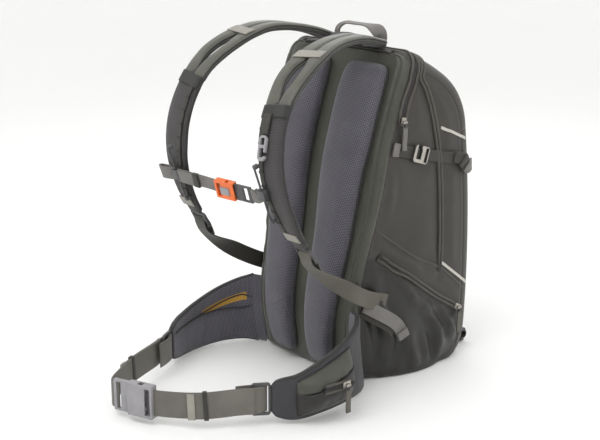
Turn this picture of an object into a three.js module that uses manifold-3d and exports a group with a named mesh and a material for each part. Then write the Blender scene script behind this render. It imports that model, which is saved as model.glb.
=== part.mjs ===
// A 20 litre ski backpack: a panelled bag on a framed back, shoulder straps joined by a sternum strap,
// and a hip belt closed by a side-release buckle. Sizes are in millimetres. +X is the wearer's left,
// -Y is towards the wearer and +Z is up. The origin is the middle of the flat base that the bag stands on.

import * as THREE from "three";
import Module from "manifold-3d";
import { mergeVertices } from "three/addons/utils/BufferGeometryUtils.js";

const wasm = await Module();
wasm.setup();

// ---- Driving dimensions ----------------------------------------------------------------------------

const GAP = 0.4; // between pieces that touch
const EASE = 1.6; // between layers of the back, whose bends lie at different heights
const CLOTH = 2; // padded pack cloth, with its lining
const HALF_WIDTH = 128; // of the bag, without belt and pockets
const HEIGHT = 482; // of the bag's top seam over its base
const EDGE_ROUND = 30; // between the sides and the rear and top
const BACK_ROUND = 12; // between the sides and the back
const BASE_BACK = -92; // the base's edge at the wearer's side
const BACK_TOP = BASE_BACK + 72; // the back leans this far from the wearer by its top seam
const BASE_FRONT = 98; // the base's edge at the far side, where the rear starts to rise
const REAR_FACE = 134; // the rear, low down
const REAR_LEAN = 15; // how much nearer the wearer it stands by its top
const REAR_BULGE = 8; // of the full front pocket
const REAR_TOP = HEIGHT - 110; // where the rear turns into the sloping top
const DIVIDER_SET = 66; // from the rear face forward to the front compartment's divider

const SHEET_THICK = 2.2; // stiff frame sheet
const STAY_WIDTH = 20;
const STAY_THICK = 3;
const STAY_SET = 45; // each stay's centre from the middle

const PAD_THICK = 21; // spacer mesh back pads
const PAD_TOP_WIDTH = 92;
const PAD_FOOT_WIDTH = 56;
const CHANNEL = 26; // air channel between the back pads

const STRAP_WIDTH = 58; // shoulder strap pads
const STRAP_THICK = 11;
const STRAP_SLOT = 12; // the vent that splits each shoulder strap
const STRAP_ROOT = 52; // the straps' middles from the bag's, at the yoke
const STRAP_TIP = HALF_WIDTH - 26; // and at their tips
const RIGHT_REACH = 20; // how much further the right strap stands from the back
const RIGHT_LIFT = 17; // and how much higher

const WEB_THICK = 2.4; // all webbing
const STRAP_WEB = 25; // lower shoulder webbing
const BELT_WEB = 38; // hip belt webbing
const SMALL_WEB = 20; // compression and sternum webbing
const HANDLE_WEB = 20; // grab handle

const BELT_THICK = 11; // hip wing foam
const BELT_ROOT_HEIGHT = 112;
const BELT_TIP_HEIGHT = 52;
const POCKET_DEPTH = 22;

const TAPE_WIDTH = 10; // zip tape with its coil
const TAPE_THICK = 1.6;
const PULL_LENGTH = 34;
const PULL_WIDTH = 8;

// ---- Finishes --------------------------------------------------------------------------------------

const finish = (color, roughness, metalness = 0) =>
  new THREE.MeshStandardMaterial({ color, roughness, metalness });

const finishes = {
  softshell: finish(0x45423e, 0.62),
  satin: finish(0x5f6053, 0.5),
  mesh: finish(0x5b5a61, 0.9),
  dark: finish(0x26262a, 0.8),
  webbing: finish(0x6f6e68, 0.75),
  plastic: finish(0x4c4b4d, 0.45),
  pale: finish(0x9a9a9c, 0.4),
  orange: finish(0xf07a3a, 0.45),
  lining: finish(0xc39a2e, 0.55),
  tape: finish(0x2d2b29, 0.6),
  metal: finish(0xb9b4ad, 0.3, 0.9),
  board: finish(0x1c1c1e, 0.5),
};

// ---- Shape helpers ---------------------------------------------------------------------------------

const at = (x, y, z) => new THREE.Vector3(x, y, z);
const UP = at(0, 0, 1);
const LEFT = at(1, 0, 0);
const radians = THREE.MathUtils.degToRad;

/** A bare, merged geometry as a solid that can be joined and cut. */
function toSolid(geometry) {
  const bare = geometry.clone();
  bare.deleteAttribute("normal");
  bare.deleteAttribute("uv");
  const merged = mergeVertices(bare, 1e-3);
  return new wasm.Manifold(
    new wasm.Mesh({
      numProp: 3,
      vertProperties: merged.attributes.position.array,
      triVerts: new Uint32Array(merged.index.array),
    }),
  );
}

function fromSolid(solid) {
  const { vertProperties, triVerts } = solid.getMesh();
  return new THREE.BufferGeometry()
    .setAttribute("position", new THREE.BufferAttribute(vertProperties, 3))
    .setIndex(new THREE.BufferAttribute(triVerts, 1));
}

const joined = (...parts) => fromSolid(parts.map(toSolid).reduce((a, b) => a.add(b)));
const without = (body, ...tools) =>
  fromSolid(tools.map(toSolid).reduce((a, b) => a.subtract(b), toSolid(body)));

/** Turns a closed geometry's faces outwards if they point in. */
function facingOut(geometry) {
  const p = geometry.getAttribute("position");
  const index = geometry.index.array;
  const [a, b, c] = [at(0, 0, 0), at(0, 0, 0), at(0, 0, 0)];
  let volume = 0;
  for (let i = 0; i < index.length; i += 3) {
    a.fromBufferAttribute(p, index[i]);
    b.fromBufferAttribute(p, index[i + 1]);
    c.fromBufferAttribute(p, index[i + 2]);
    volume += a.dot(b.cross(c));
  }
  if (volume < 0)
    for (let i = 0; i < index.length; i += 3)
      [index[i + 1], index[i + 2]] = [index[i + 2], index[i + 1]];
  return geometry;
}

/**
 * A closed sheet of cloth or foam. place(u, v) gives its outer and its inner point, u across and v along,
 * each from 0 to 1, and keep(column, row) says which cells are there, so that it can have a slot.
 */
function sheet(columns, rows, place, keep = () => true) {
  const outer = [];
  const inner = [];
  for (let j = 0; j <= rows; j++)
    for (let i = 0; i <= columns; i++) {
      const [o, n] = place(i / columns, j / rows);
      outer.push(o);
      inner.push(n);
    }
  const id = (i, j) => j * (columns + 1) + i;
  const back = outer.length;
  const has = (i, j) => i >= 0 && j >= 0 && i < columns && j < rows && keep(i, j);
  const faces = [];
  const quad = (a, b, c, d) => faces.push(a, b, c, a, c, d);
  for (let j = 0; j < rows; j++)
    for (let i = 0; i < columns; i++) {
      if (!has(i, j)) continue;
      const corner = [id(i, j), id(i + 1, j), id(i + 1, j + 1), id(i, j + 1)];
      const beyond = [has(i, j - 1), has(i + 1, j), has(i, j + 1), has(i - 1, j)];
      quad(...corner);
      quad(...[...corner].reverse().map((k) => k + back));
      corner.forEach((a, k) => {
        const b = corner[(k + 1) % 4];
        if (!beyond[k]) quad(b, a, a + back, b + back);
      });
    }
  const geometry = new THREE.BufferGeometry().setFromPoints([...outer, ...inner]);
  geometry.setIndex(faces);
  return facingOut(geometry);
}

const smooth = (...points) => new THREE.CatmullRomCurve3(points.map((p) => at(...p)));

/** The directions across and out of a curve at a place along it, square to its run. */
function framing(curve, v, across) {
  const run = curve.getTangentAt(v);
  const side = across.clone().addScaledVector(run, -across.dot(run)).normalize();
  return { point: curve.getPointAt(v), run, side, out: run.clone().cross(side) };
}

/** Webbing along a curve. across(v) is the direction of its width at a place along it. */
function webbing(curve, width, across, steps) {
  return sheet(1, steps, (u, v) => {
    const f = framing(curve, v, across(v));
    const middle = f.point.addScaledVector(f.side, (u - 0.5) * width);
    return [
      middle.clone().addScaledVector(f.out, WEB_THICK / 2),
      middle.clone().addScaledVector(f.out, -WEB_THICK / 2),
    ];
  });
}

/** Webbing's direction that turns from one to another over the first part of its length. */
const turning = (from, to) => (v) => from.clone().lerp(to, Math.min(1, 1.7 * v));
const always = (direction) => () => direction.clone();

/** A flat plate from an outline with holes, its middle plane at z 0. */
function plate(shape, thick) {
  const made = new THREE.ExtrudeGeometry(shape, {
    depth: thick,
    bevelEnabled: false,
    curveSegments: 4,
  });
  return made.translate(0, 0, -thick / 2);
}

/** A rectangle about the origin with its corners cut at 45 degrees. */
function cutRectangle(width, height, cut) {
  const [w, h] = [width / 2, height / 2];
  const quarter = [
    [w - cut, h],
    [w, h - cut],
  ];
  const corners = [
    ...quarter,
    ...quarter.map(([x, y]) => [x, -y]).reverse(),
    ...quarter.map(([x, y]) => [-x, -y]),
    ...quarter.map(([x, y]) => [-x, y]).reverse(),
  ];
  return new THREE.Shape(corners.map(([x, y]) => new THREE.Vector2(x, y)));
}

const block = (length, width, height, x = 0, y = 0, z = 0) =>
  new THREE.BoxGeometry(length, width, height).translate(x, y, z);

const pack = new THREE.Group();

/** Adds a piece to the pack, or to a group of it. */
function add(name, geometry, material, parent = pack) {
  const mesh = new THREE.Mesh(geometry, finishes[material]);
  mesh.name = name;
  parent.add(mesh);
  return mesh;
}

/** A group at a point whose own x and y run along two directions. */
function frameAt(point, x, y) {
  const group = new THREE.Group();
  const run = x.clone().normalize();
  const third = run.clone().cross(y).normalize();
  const across = third.clone().cross(run);
  group.setRotationFromMatrix(new THREE.Matrix4().makeBasis(run, across, third));
  group.position.copy(point);
  pack.add(group);
  return group;
}

const sides = [
  ["left", 1],
  ["right", -1],
];

// ---- The bag ---------------------------------------------------------------------------------------

// The back's line from the base to the top seam, as y and z: a lumbar bow, then a lean away from the wearer.
const backLine = smooth(
  [0, BASE_BACK, 0],
  [0, BASE_BACK - 12, 0.19 * HEIGHT],
  [0, BASE_BACK + 6, 0.45 * HEIGHT],
  [0, BASE_BACK + 20, 0.66 * HEIGHT],
  [0, BASE_BACK + 44, 0.84 * HEIGHT],
  [0, BACK_TOP, HEIGHT - 2],
);

/** A point over the back's face: along the back line, sideways, and towards the wearer. */
function onBack(v, x, out) {
  const run = backLine.getTangentAt(v);
  return backLine.getPointAt(v).add(at(x, -run.z * out, run.y * out));
}

const BACK_ROWS = 9; // the back's cloth bends at these rows
const backPlace = (row) => 0.008 + 0.99 * row; // along the back's line, for a row from 0 to 1

/** Half of the bag's width at a height, less where its top corners round off. */
function halfWidthAt(z) {
  const over = Math.max(0, z - (HEIGHT - EDGE_ROUND));
  return HALF_WIDTH - EDGE_ROUND + Math.sqrt(Math.max(0, EDGE_ROUND ** 2 - over ** 2));
}

const rearPath = new THREE.Path();
rearPath.moveTo(BASE_FRONT, 0);
rearPath.quadraticCurveTo(REAR_FACE - 4, 0, REAR_FACE, 56);
rearPath.quadraticCurveTo(REAR_FACE + REAR_BULGE, 0.45 * HEIGHT, REAR_FACE - REAR_LEAN, REAR_TOP);

const seamLean = (REAR_BULGE + REAR_LEAN) / (REAR_TOP - 0.45 * HEIGHT); // rear and top run on smoothly
const seamY = (past) => REAR_FACE - REAR_LEAN - seamLean * past;
const topPath = new THREE.Path();
topPath.moveTo(seamY(GAP), REAR_TOP + GAP);
topPath.quadraticCurveTo(seamY(60), REAR_TOP + 60, REAR_FACE - 74, HEIGHT - 21);
topPath.quadraticCurveTo(32, HEIGHT - 4, BACK_TOP + BACK_ROUND, HEIGHT);

/** A point of the cloth that wraps the rear and the top, in from its face; turn is its edge's angle. */
function onWrap(path, v, x, turn, inward) {
  const p = path.getPointAt(v);
  const run = path.getTangentAt(v);
  const round = EDGE_ROUND - inward;
  const drop = inward + round * (1 - Math.cos(turn));
  return at(x + Math.sign(x) * round * Math.sin(turn), p.x - run.y * drop, p.y + run.x * drop);
}

const REAR_ROWS = 8;
const TOP_ROWS = 6;
const SEAM_SWEEP = 0.13; // the top's last seam runs down and back, to lie along the gusset's
/** One length of that cloth, with both its rounded edges. Its last seam can sweep back as it comes down. */
function wrap(path, rows, sweep = 0) {
  const flat = HALF_WIDTH - EDGE_ROUND;
  const turns = [90, 60, 30, 0].map(radians);
  const columns = [...turns.map((t) => [-flat, t]), [0, 0], ...turns.reverse().map((t) => [flat, t])];
  return sheet(columns.length - 1, rows, (u, v) => {
    const [x, turn] = columns[Math.round(u * (columns.length - 1))];
    const back = v === 1 ? -sweep * EDGE_ROUND * (1 - Math.cos(turn)) : 0;
    return [0, CLOTH].map((inward) => onWrap(path, v, x, turn, inward).add(at(0, back, 0)));
  });
}

function basePlate() {
  const shape = new THREE.Shape();
  shape.moveTo(-HALF_WIDTH, BASE_FRONT - GAP);
  shape.lineTo(-HALF_WIDTH, BASE_BACK + BACK_ROUND);
  shape.absarc(BACK_ROUND - HALF_WIDTH, BASE_BACK + BACK_ROUND, BACK_ROUND, Math.PI, 1.5 * Math.PI);
  shape.absarc(HALF_WIDTH - BACK_ROUND, BASE_BACK + BACK_ROUND, BACK_ROUND, 1.5 * Math.PI, 2 * Math.PI);
  shape.lineTo(HALF_WIDTH, BASE_FRONT - GAP);
  return plate(shape, CLOTH).translate(0, 0, CLOTH / 2);
}

/** The flat side, whose outline follows the back and, set in by the rounded edge, the rear and the top. */
function sidePanel() {
  const inset = (path, v) => {
    const p = onWrap(path, v, 0, 0, EDGE_ROUND + GAP);
    const back = path === topPath && v === 1 ? -SEAM_SWEEP * EDGE_ROUND : 0;
    return new THREE.Vector2(p.y + back, p.z);
  };
  const steps = (n) => [...Array(n + 1).keys()].map((k) => k / n);
  const back = steps(BACK_ROWS)
    .map((k) => onBack(backPlace(k), 0, -BACK_ROUND - GAP))
    .map((p) => new THREE.Vector2(p.y, Math.max(CLOTH + GAP, p.z)));
  const top = HEIGHT - EDGE_ROUND - GAP;
  const past = back.findIndex((p) => p.y > top);
  const [below, above] = [back[past - 1], back[past]];
  const outline = [
    ...steps(REAR_ROWS).map((k) => inset(rearPath, k)),
    ...steps(TOP_ROWS).map((k) => inset(topPath, k)).slice(1),
    below.clone().lerp(above, (top - below.y) / (above.y - below.y)),
    ...back.slice(0, past).reverse(),
    new THREE.Vector2(BASE_FRONT - GAP, CLOTH + GAP),
  ];
  return plate(new THREE.Shape(outline), CLOTH);
}

/** The rounded edge between the back and a side. */
function backGusset(side) {
  return sheet(3, BACK_ROWS, (u, v) => {
    const along = backPlace(v);
    const turn = radians(90 * u);
    const wide = halfWidthAt(onBack(along, 0, 0).z) - BACK_ROUND;
    const point = (round) =>
      onBack(along, side * (wide + GAP + round * Math.sin(turn)), -BACK_ROUND + round * Math.cos(turn));
    return [point(BACK_ROUND - GAP), point(BACK_ROUND - GAP - CLOTH)];
  });
}

/** The cloth over the top edge of the back, where straps and handle are sewn on. */
function yokePanel() {
  const narrow = halfWidthAt(HEIGHT - 2) - BACK_ROUND;
  return sheet(4, 3, (u, v) => {
    const turn = radians(90 * v);
    const x = (2 * u - 1) * (narrow + (BACK_ROUND - GAP) * Math.sin(turn) - GAP);
    const y = BACK_TOP + (BACK_ROUND - GAP) * (1 - Math.cos(turn));
    return [at(x, y, HEIGHT + 1.5), at(x, y, HEIGHT + 1.5 - CLOTH)];
  });
}

/** A cloth or board that lies on the back's line, between two depths. */
function backSheet(x0, x1, from, to, out, thick, columns = 2) {
  return sheet(columns, 9, (u, v) => {
    const x = x0 + (x1 - x0) * u;
    const along = from + (to - from) * v;
    return [onBack(along, x, out), onBack(along, x, out - thick)];
  });
}

add("base_panel", basePlate(), "softshell");
add("front_panel", wrap(rearPath, REAR_ROWS), "softshell");
add("top_panel", wrap(topPath, TOP_ROWS, SEAM_SWEEP), "softshell");
add("yoke_panel", yokePanel(), "softshell");
add(
  "back_panel",
  sheet(2, BACK_ROWS, (u, v) => {
    const along = backPlace(v);
    const x = (2 * u - 1) * (halfWidthAt(onBack(along, 0, 0).z) - BACK_ROUND);
    return [onBack(along, x, 0), onBack(along, x, -CLOTH)];
  }),
  "satin",
);
const boardHalf = HALF_WIDTH - 40;
add("frame_sheet", backSheet(-boardHalf, boardHalf, 0.04, 0.9, -CLOTH - EASE, SHEET_THICK), "board");
const stayDepth = -CLOTH - SHEET_THICK - 2 * EASE;
const dividerPath = new THREE.Path();
dividerPath.moveTo(REAR_FACE - DIVIDER_SET, CLOTH + 1);
dividerPath.lineTo(REAR_FACE - DIVIDER_SET - REAR_LEAN, 0.8 * HEIGHT);
dividerPath.lineTo(30, HEIGHT - 26);
add(
  "compartment_divider",
  sheet(1, 8, (u, v) => {
    const p = dividerPath.getPointAt(v);
    const x = (2 * u - 1) * (HALF_WIDTH - CLOTH - 2);
    const turned = p.y > HEIGHT - EDGE_ROUND - 40 ? x * 0.86 : x;
    return [at(turned, p.x, p.y), at(turned, p.x - 1.2, p.y)];
  }),
  "lining",
);
for (const [name, side] of sides) {
  const panel = add(`${name}_side_panel`, sidePanel(), "softshell");
  // The outline's own x and y run along the pack's y and z.
  panel.rotation.set(Math.PI / 2, Math.PI / 2, 0);
  panel.position.x = side * (HALF_WIDTH - CLOTH / 2);
  add(`${name}_back_gusset`, backGusset(side), "satin");
  const stayX = side * STAY_SET;
  add(
    `${name}_frame_stay`,
    backSheet(stayX - STAY_WIDTH / 2, stayX + STAY_WIDTH / 2, 0.06, 0.88, stayDepth, STAY_THICK, 1),
    "metal",
  );
}

// ---- Back pads -------------------------------------------------------------------------------------

/** A spacer mesh pad: wide at the shoulders, narrow at the hips, rounded over its edges. */
function backPad(side) {
  return sheet(6, 12, (u, v) => {
    const along = 0.035 + 0.925 * v;
    const width = PAD_FOOT_WIDTH + (PAD_TOP_WIDTH - PAD_FOOT_WIDTH) * Math.min(1, 1.35 * v);
    const ends = Math.sqrt(Math.max(0, 1 - (2 * v - 1) ** 14));
    const x = CHANNEL / 2 + width * (0.5 + (u - 0.5) * (0.72 + 0.28 * ends));
    const crown = (1 - (2 * u - 1) ** 6) * (0.25 + 0.75 * ends);
    const height = 4 + (PAD_THICK - 4) * crown;
    return [onBack(along, side * x, EASE + height), onBack(along, side * x, EASE)];
  });
}
for (const [name, side] of sides) add(`${name}_back_pad`, backPad(side), "mesh");

// ---- Shoulder straps -------------------------------------------------------------------------------

const YOKE_Z = HEIGHT + 1.5; // the yoke's face, where the straps' roots lie

/** The middle line of a shoulder strap pad, from the yoke to its tip. */
function strapLine(side) {
  const reach = side < 0 ? RIGHT_REACH : 0;
  const lift = side < 0 ? RIGHT_LIFT : 0;
  const out = (share) => side * (STRAP_ROOT + share * (STRAP_TIP - STRAP_ROOT));
  return smooth(
    [out(0), -10, YOKE_Z + GAP + STRAP_THICK / 2],
    [out(0.12), -60, YOKE_Z + 16 + 0.3 * lift],
    [out(0.32), -128 - 0.3 * reach, YOKE_Z + 8 + lift],
    [out(0.56), -196 - reach, YOKE_Z - 32 + lift],
    [out(0.76), -232 - reach, YOKE_Z - 88 + 0.6 * lift],
    [out(0.9), -238 - reach, YOKE_Z - 152 + 0.4 * lift],
    [out(0.98), -216 - 1.3 * reach, YOKE_Z - 214 + 0.6 * lift],
    [out(1), -192 - 1.5 * reach, YOKE_Z - 254 + 0.8 * lift],
  );
}
const strapLines = { left: strapLine(1), right: strapLine(-1) };

/** The place along a curve where it comes down to a height. */
function downTo(curve, z, from = 0, to = 1) {
  const middle = (from + to) / 2;
  if (to - from < 1e-4) return middle;
  return curve.getPointAt(middle).z > z ? downTo(curve, z, middle, to) : downTo(curve, z, from, middle);
}

/** A shoulder strap pad, split by a vent in its upper half and narrower at its tip. */
function strapPad(line, side) {
  const half = STRAP_SLOT / STRAP_WIDTH / 2;
  const places = [-0.5, -half - 0.1, -half, half, half + 0.1, 0.5];
  return sheet(
    5,
    20,
    (u, v) => {
      const f = framing(line, v, at(side, 0, 0));
      const root = 0.86 + 0.14 * Math.min(1, 8 * v);
      const tip = 1 - 0.45 * Math.max(0, (v - 0.72) / 0.28) ** 1.5;
      const width = STRAP_WIDTH * root * tip;
      const column = Math.round(5 * u);
      const thick = (column % 5 ? 1 : 0.5) * STRAP_THICK;
      const middle = f.point.addScaledVector(f.side, places[column] * width);
      return [
        middle.clone().addScaledVector(f.out, thick / 2),
        middle.clone().addScaledVector(f.out, -thick / 2),
      ];
    },
    (column, row) => column !== 2 || row < 4 || row > 9,
  );
}

/** A ladder lock: a flat frame with two slots, its strap running along its own x. */
function ladderLock(web, length, thick = 4) {
  const slot = length / 2 - 4.2;
  const slots = [-1, 1].map((end) => block(slot, web + 1, 2 * thick, end * (slot / 2 + 1.2)));
  return without(plate(cutRectangle(length, web + 9, 2.5), thick), ...slots);
}
const LOCK_LENGTH = 26;
const OVER_LOCK = 2 + 4 * GAP + WEB_THICK / 2; // of a strap that lies on a lock, over the lock's middle

const ANCHOR_Y = BASE_BACK + 8; // where the lower shoulder webbing is sewn to the side
const ANCHOR_Z = 126;
const anchorX = HALF_WIDTH + GAP + WEB_THICK / 2;
for (const [name, side] of sides) {
  const line = strapLines[name];
  add(`${name}_shoulder_strap`, strapPad(line, side), "softshell");
  const tip = framing(line, 1, at(side, 0, 0));
  const lockAt = tip.point.clone().addScaledVector(tip.run, LOCK_LENGTH / 2 + GAP);
  const lockPlace = frameAt(lockAt, tip.run, tip.side);
  add(`${name}_strap_ladder_lock`, ladderLock(STRAP_WEB, LOCK_LENGTH), "plastic", lockPlace);
  const over = (reach) =>
    lockAt.clone().addScaledVector(tip.run, reach).addScaledVector(tip.out, side * OVER_LOCK);
  const anchor = at(side * anchorX, ANCHOR_Y, ANCHOR_Z);
  const middle = over(20).lerp(anchor, 0.55).add(at(side * 10, 0, -6));
  const lower = new THREE.CatmullRomCurve3([
    over(8),
    over(20),
    middle,
    anchor.clone().add(at(0, -12, 5)),
    anchor.clone().add(at(0, 20, -8)),
  ]);
  const lowerAcross = turning(tip.side, at(0, side * 0.4, side * 0.9));
  add(`${name}_lower_webbing`, webbing(lower, STRAP_WEB, lowerAcross, 10), "webbing");
}

add("yoke_pad", block(40, 14, 7, 0, BACK_TOP + 3, YOKE_Z + GAP + 3.5), "mesh");

// ---- Grab handle -----------------------------------------------------------------------------------

const HANDLE_RISE = 27;
const HANDLE_Y = 4;
const HANDLE_HALF = 44;
const handleSide = [
  [HANDLE_HALF, HANDLE_Y, YOKE_Z + 1],
  [HANDLE_HALF + 2, HANDLE_Y, YOKE_Z + 0.5 * HANDLE_RISE],
  [0.7 * HANDLE_HALF, HANDLE_Y, YOKE_Z + 0.92 * HANDLE_RISE],
];
const handleLine = smooth(
  ...handleSide,
  [0, HANDLE_Y, YOKE_Z + HANDLE_RISE],
  ...handleSide.map(([x, y, z]) => [-x, y, z]).reverse(),
);
// It is sewn in flat along the seam and turns flat over the hand.
const handleAcross = (v) => at(Math.cos(Math.PI * v), Math.sin(Math.PI * v), 0);
add("grab_handle", webbing(handleLine, HANDLE_WEB, handleAcross, 18), "webbing");

// ---- Sternum strap ---------------------------------------------------------------------------------

const STERNUM_Z = HEIGHT - 168;
const STERNUM_SAG = 10;
const RAIL_LENGTH = 84;
const RAIL_RADIUS = 1.6;
const CLIP_HEIGHT = 16;
const CLIP_DEPTH = 8;
const RAIL_STAND = 8; // of a rail's middle off its strap
const RAIL_INSET = 13; // of a rail from the strap's middle towards the other strap
const railRun = at(0, -0.34, 0.94).normalize(); // both rails lie along this, so that the strap slides as one
const STERNUM_MALE_X = 59; // outer end of the half on the left
const STERNUM_MEET_X = 30; // where the two halves meet
const STERNUM_FEMALE_X = -3; // outer end of the half on the right

const clipPlace = {};
for (const [name, side] of sides) {
  const line = strapLines[name];
  const f = framing(line, downTo(line, STERNUM_Z, 0.4), at(side, 0, 0));
  const middle = f.point
    .addScaledVector(f.out, side * (STRAP_THICK / 2 + RAIL_STAND))
    .addScaledVector(f.side, -RAIL_INSET);
  clipPlace[name] = middle;
  const place = frameAt(middle, LEFT, railRun);
  const foot = (end) => block(6, 5, 7.4, 0, (end * RAIL_LENGTH) / 2, -3.2);
  const rod = new THREE.CylinderGeometry(RAIL_RADIUS, RAIL_RADIUS, RAIL_LENGTH, 8);
  add(`${name}_sternum_rail`, joined(rod, foot(1), foot(-1)), "dark", place);
  const channel = 2 * (RAIL_RADIUS + GAP);
  const clip = without(block(15, CLIP_HEIGHT, CLIP_DEPTH), block(channel, 2 * CLIP_HEIGHT, channel));
  add(`${name}_sternum_clip`, clip, "plastic", place);
}

// The right webbing runs straight and the socket slides along it; its line is this far behind the buckle's.
const STERNUM_THICK = 9.5;
const behind = STERNUM_THICK / 2 + GAP + WEB_THICK / 2;
const sternumBack = LEFT.clone().cross(railRun).negate();
const rightStart = clipPlace.right.clone().add(at(10.5, 0, 0));
const meetAim = at(STERNUM_MEET_X, -250, STERNUM_Z - STERNUM_SAG);
const sternumRun = meetAim.clone().addScaledVector(sternumBack, behind).sub(rightStart).normalize();
const sternumPlace = frameAt(meetAim, sternumRun.clone().negate(), railRun);
const plugEnd = meetAim.clone().addScaledVector(sternumRun, STERNUM_MALE_X - STERNUM_MEET_X);
const leftRun = plugEnd.clone().sub(clipPlace.left).normalize();
// The webbing is cut square to its own run, so its corners reach past its ends at the clip and the plug.
const clipCorner = (SMALL_WEB / 2) * Math.abs(railRun.dot(leftRun));
const plugCorner = (SMALL_WEB / 2) * sternumRun.clone().cross(leftRun).length();
const maleEnd = plugEnd.clone().addScaledVector(sternumRun, 2 * GAP + plugCorner);
const leftStart = clipPlace.left.clone().addScaledVector(leftRun, 7.5 + 4 * GAP + clipCorner);
const leftMiddle = leftStart.clone().lerp(maleEnd, 0.5).add(at(0, 0, -1));
const rightEnd = rightStart.clone().addScaledVector(sternumRun, meetAim.distanceTo(rightStart) - 16);
for (const [name, points] of [
  ["left", [leftStart, leftMiddle, maleEnd]],
  ["right", [rightStart, rightStart.clone().lerp(rightEnd, 0.5), rightEnd]],
])
  add(
    `${name}_sternum_webbing`,
    webbing(new THREE.CatmullRomCurve3(points), SMALL_WEB, always(railRun), 5),
    "webbing",
  );

/**
 * The two halves of a side-release buckle about the line where they meet: the socket to its own +x and the
 * plug to -x. The plug's prongs stand clear of the socket all round.
 */
function buckle({ socket, plug, width, thick, prong, web }) {
  const wall = 2;
  const cavity = [width - 2 * wall - 1, thick - 2 * wall];
  const body = block(socket, width, thick, socket / 2);
  const bar = 0.22 * socket;
  const made = without(
    body,
    block(prong + 4, cavity[0], cavity[1], (prong + 4) / 2 - 0.5),
    block(0.3 * prong, 2 * width, 0.6 * thick, 0.75 * prong),
    block(bar, web + 1, 2 * thick, socket - bar / 2 - 3),
  );
  const reach = cavity[0] / 2 - 1;
  const blade = Math.min(5, cavity[1] - 3);
  const arm = (side) => [
    block(prong + 2, 0.13 * width, blade, prong / 2 - 1, side * (reach - 0.14 * width)),
    block(0.22 * prong, 0.17 * width, blade, 0.78 * prong, side * (reach - 0.085 * width)),
  ];
  const bail = block(plug, width - 2, blade + 1, -plug / 2 - GAP);
  const base = without(bail, block(0.3 * plug, web + 1, 2 * thick, -0.68 * plug));
  const tongue = block(0.8 * prong + 2, 0.16 * width, blade, 0.4 * prong - 1);
  return { socket: made, plug: joined(base, tongue, ...arm(1), ...arm(-1)) };
}

const sternum = buckle({
  socket: STERNUM_MEET_X - STERNUM_FEMALE_X,
  plug: STERNUM_MALE_X - STERNUM_MEET_X,
  width: SMALL_WEB + 7,
  thick: STERNUM_THICK,
  prong: 17,
  web: SMALL_WEB,
});
add("sternum_buckle_female", sternum.socket, "orange", sternumPlace);
add("sternum_buckle_male", sternum.plug, "dark", sternumPlace);

// ---- Shoulder clip ---------------------------------------------------------------------------------

const CLIP_INSET = 6; // from the strap's middle towards the other strap
const clipFace = framing(strapLines.left, downTo(strapLines.left, HEIGHT - 94, 0.4), LEFT);
const clipTop = clipFace.point
  .clone()
  .addScaledVector(clipFace.out, STRAP_THICK / 2 + 4)
  .addScaledVector(clipFace.side, -CLIP_INSET);
const CLIP_LENGTH = 34;
const hookClip = without(
  plate(cutRectangle(CLIP_LENGTH, 15, 4), 4),
  block(9, 8, 9, -9),
  block(12, 8, 9, 6),
  block(5, 8, 9, 8, 4.5),
);
const clipMiddle = clipTop.clone().addScaledVector(clipFace.run, CLIP_LENGTH / 2);
add("shoulder_clip", hookClip, "pale", frameAt(clipMiddle, clipFace.run, clipFace.side));

// ---- Hip belt --------------------------------------------------------------------------------------

const BELT_Z = 59; // the wings' middle over the base at their roots
const BELT_TIP_Z = 38; // and at their tips
/** A wing's middle line: for each place how far out from the bag's side, y and how far below its root. */
const wingLine = (side, ...places) =>
  smooth(...places.map(([out, y, drop]) => [side * (HALF_WIDTH + out), y, BELT_Z - drop]));
const TIP_DROP = BELT_Z - BELT_TIP_Z;
const wingLines = {
  left: wingLine(
    1,
    [-7.2, -106, 0],
    [8, -122, 2],
    [23, -160, 7],
    [26, -208, 15],
    [20, -242, TIP_DROP],
    [2, -270, TIP_DROP],
  ),
  right: wingLine(
    -1,
    [-7.2, -106, 0],
    [8, -122, 2],
    [19, -155, 7],
    [19, -200, 15],
    [10, -236, TIP_DROP],
    [-8, -264, TIP_DROP],
  ),
};

/** The place along the back's line at a height. */
function upTo(z, from = 0, to = 1) {
  const middle = (from + to) / 2;
  if (to - from < 1e-4) return middle;
  return backLine.getPointAt(middle).z < z ? upTo(z, middle, to) : upTo(z, from, middle);
}

/** A point over a hip wing's face: along it, up it from -0.5 to 0.5, and out from its middle. */
function onWing(line, side, v, up, out) {
  const f = framing(line, v, UP);
  const height = BELT_ROOT_HEIGHT + (BELT_TIP_HEIGHT - BELT_ROOT_HEIGHT) * v ** 0.8;
  const p = f.point.addScaledVector(UP, up * height).addScaledVector(f.out, -side * out);
  const backY = backLine.getPointAt(upTo(p.z)).y;
  p.y += (backY - (BASE_BACK - 12)) * (1 - v) ** 3;
  return p;
}

function hipWing(line, side) {
  return sheet(4, 12, (u, v) => {
    const places = [-0.5, -0.42, 0, 0.42, 0.5];
    const column = Math.round(4 * u);
    const thick = (column % 4 ? 1 : 0.5) * BELT_THICK;
    return [1, -1].map((face) => onWing(line, side, v, places[column], (face * thick) / 2));
  });
}

const POCKET_FROM = 0.3;
const POCKET_TO = 0.82;
/** How far the hip pocket's cloth stands off its wing. */
function pocketRise(u, v) {
  return POCKET_DEPTH * (1 - Math.abs(2 * u - 1) ** 3) * (1 - Math.abs(2 * v - 1) ** 4);
}
function hipPocket(line, side) {
  return sheet(6, 8, (u, v) => {
    const place = POCKET_FROM + (POCKET_TO - POCKET_FROM) * v;
    const rise = BELT_THICK / 2 + GAP + pocketRise(u, v);
    return [rise + CLOTH, rise].map((out) => onWing(line, side, place, 0.78 * (u - 0.5), out));
  });
}

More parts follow.
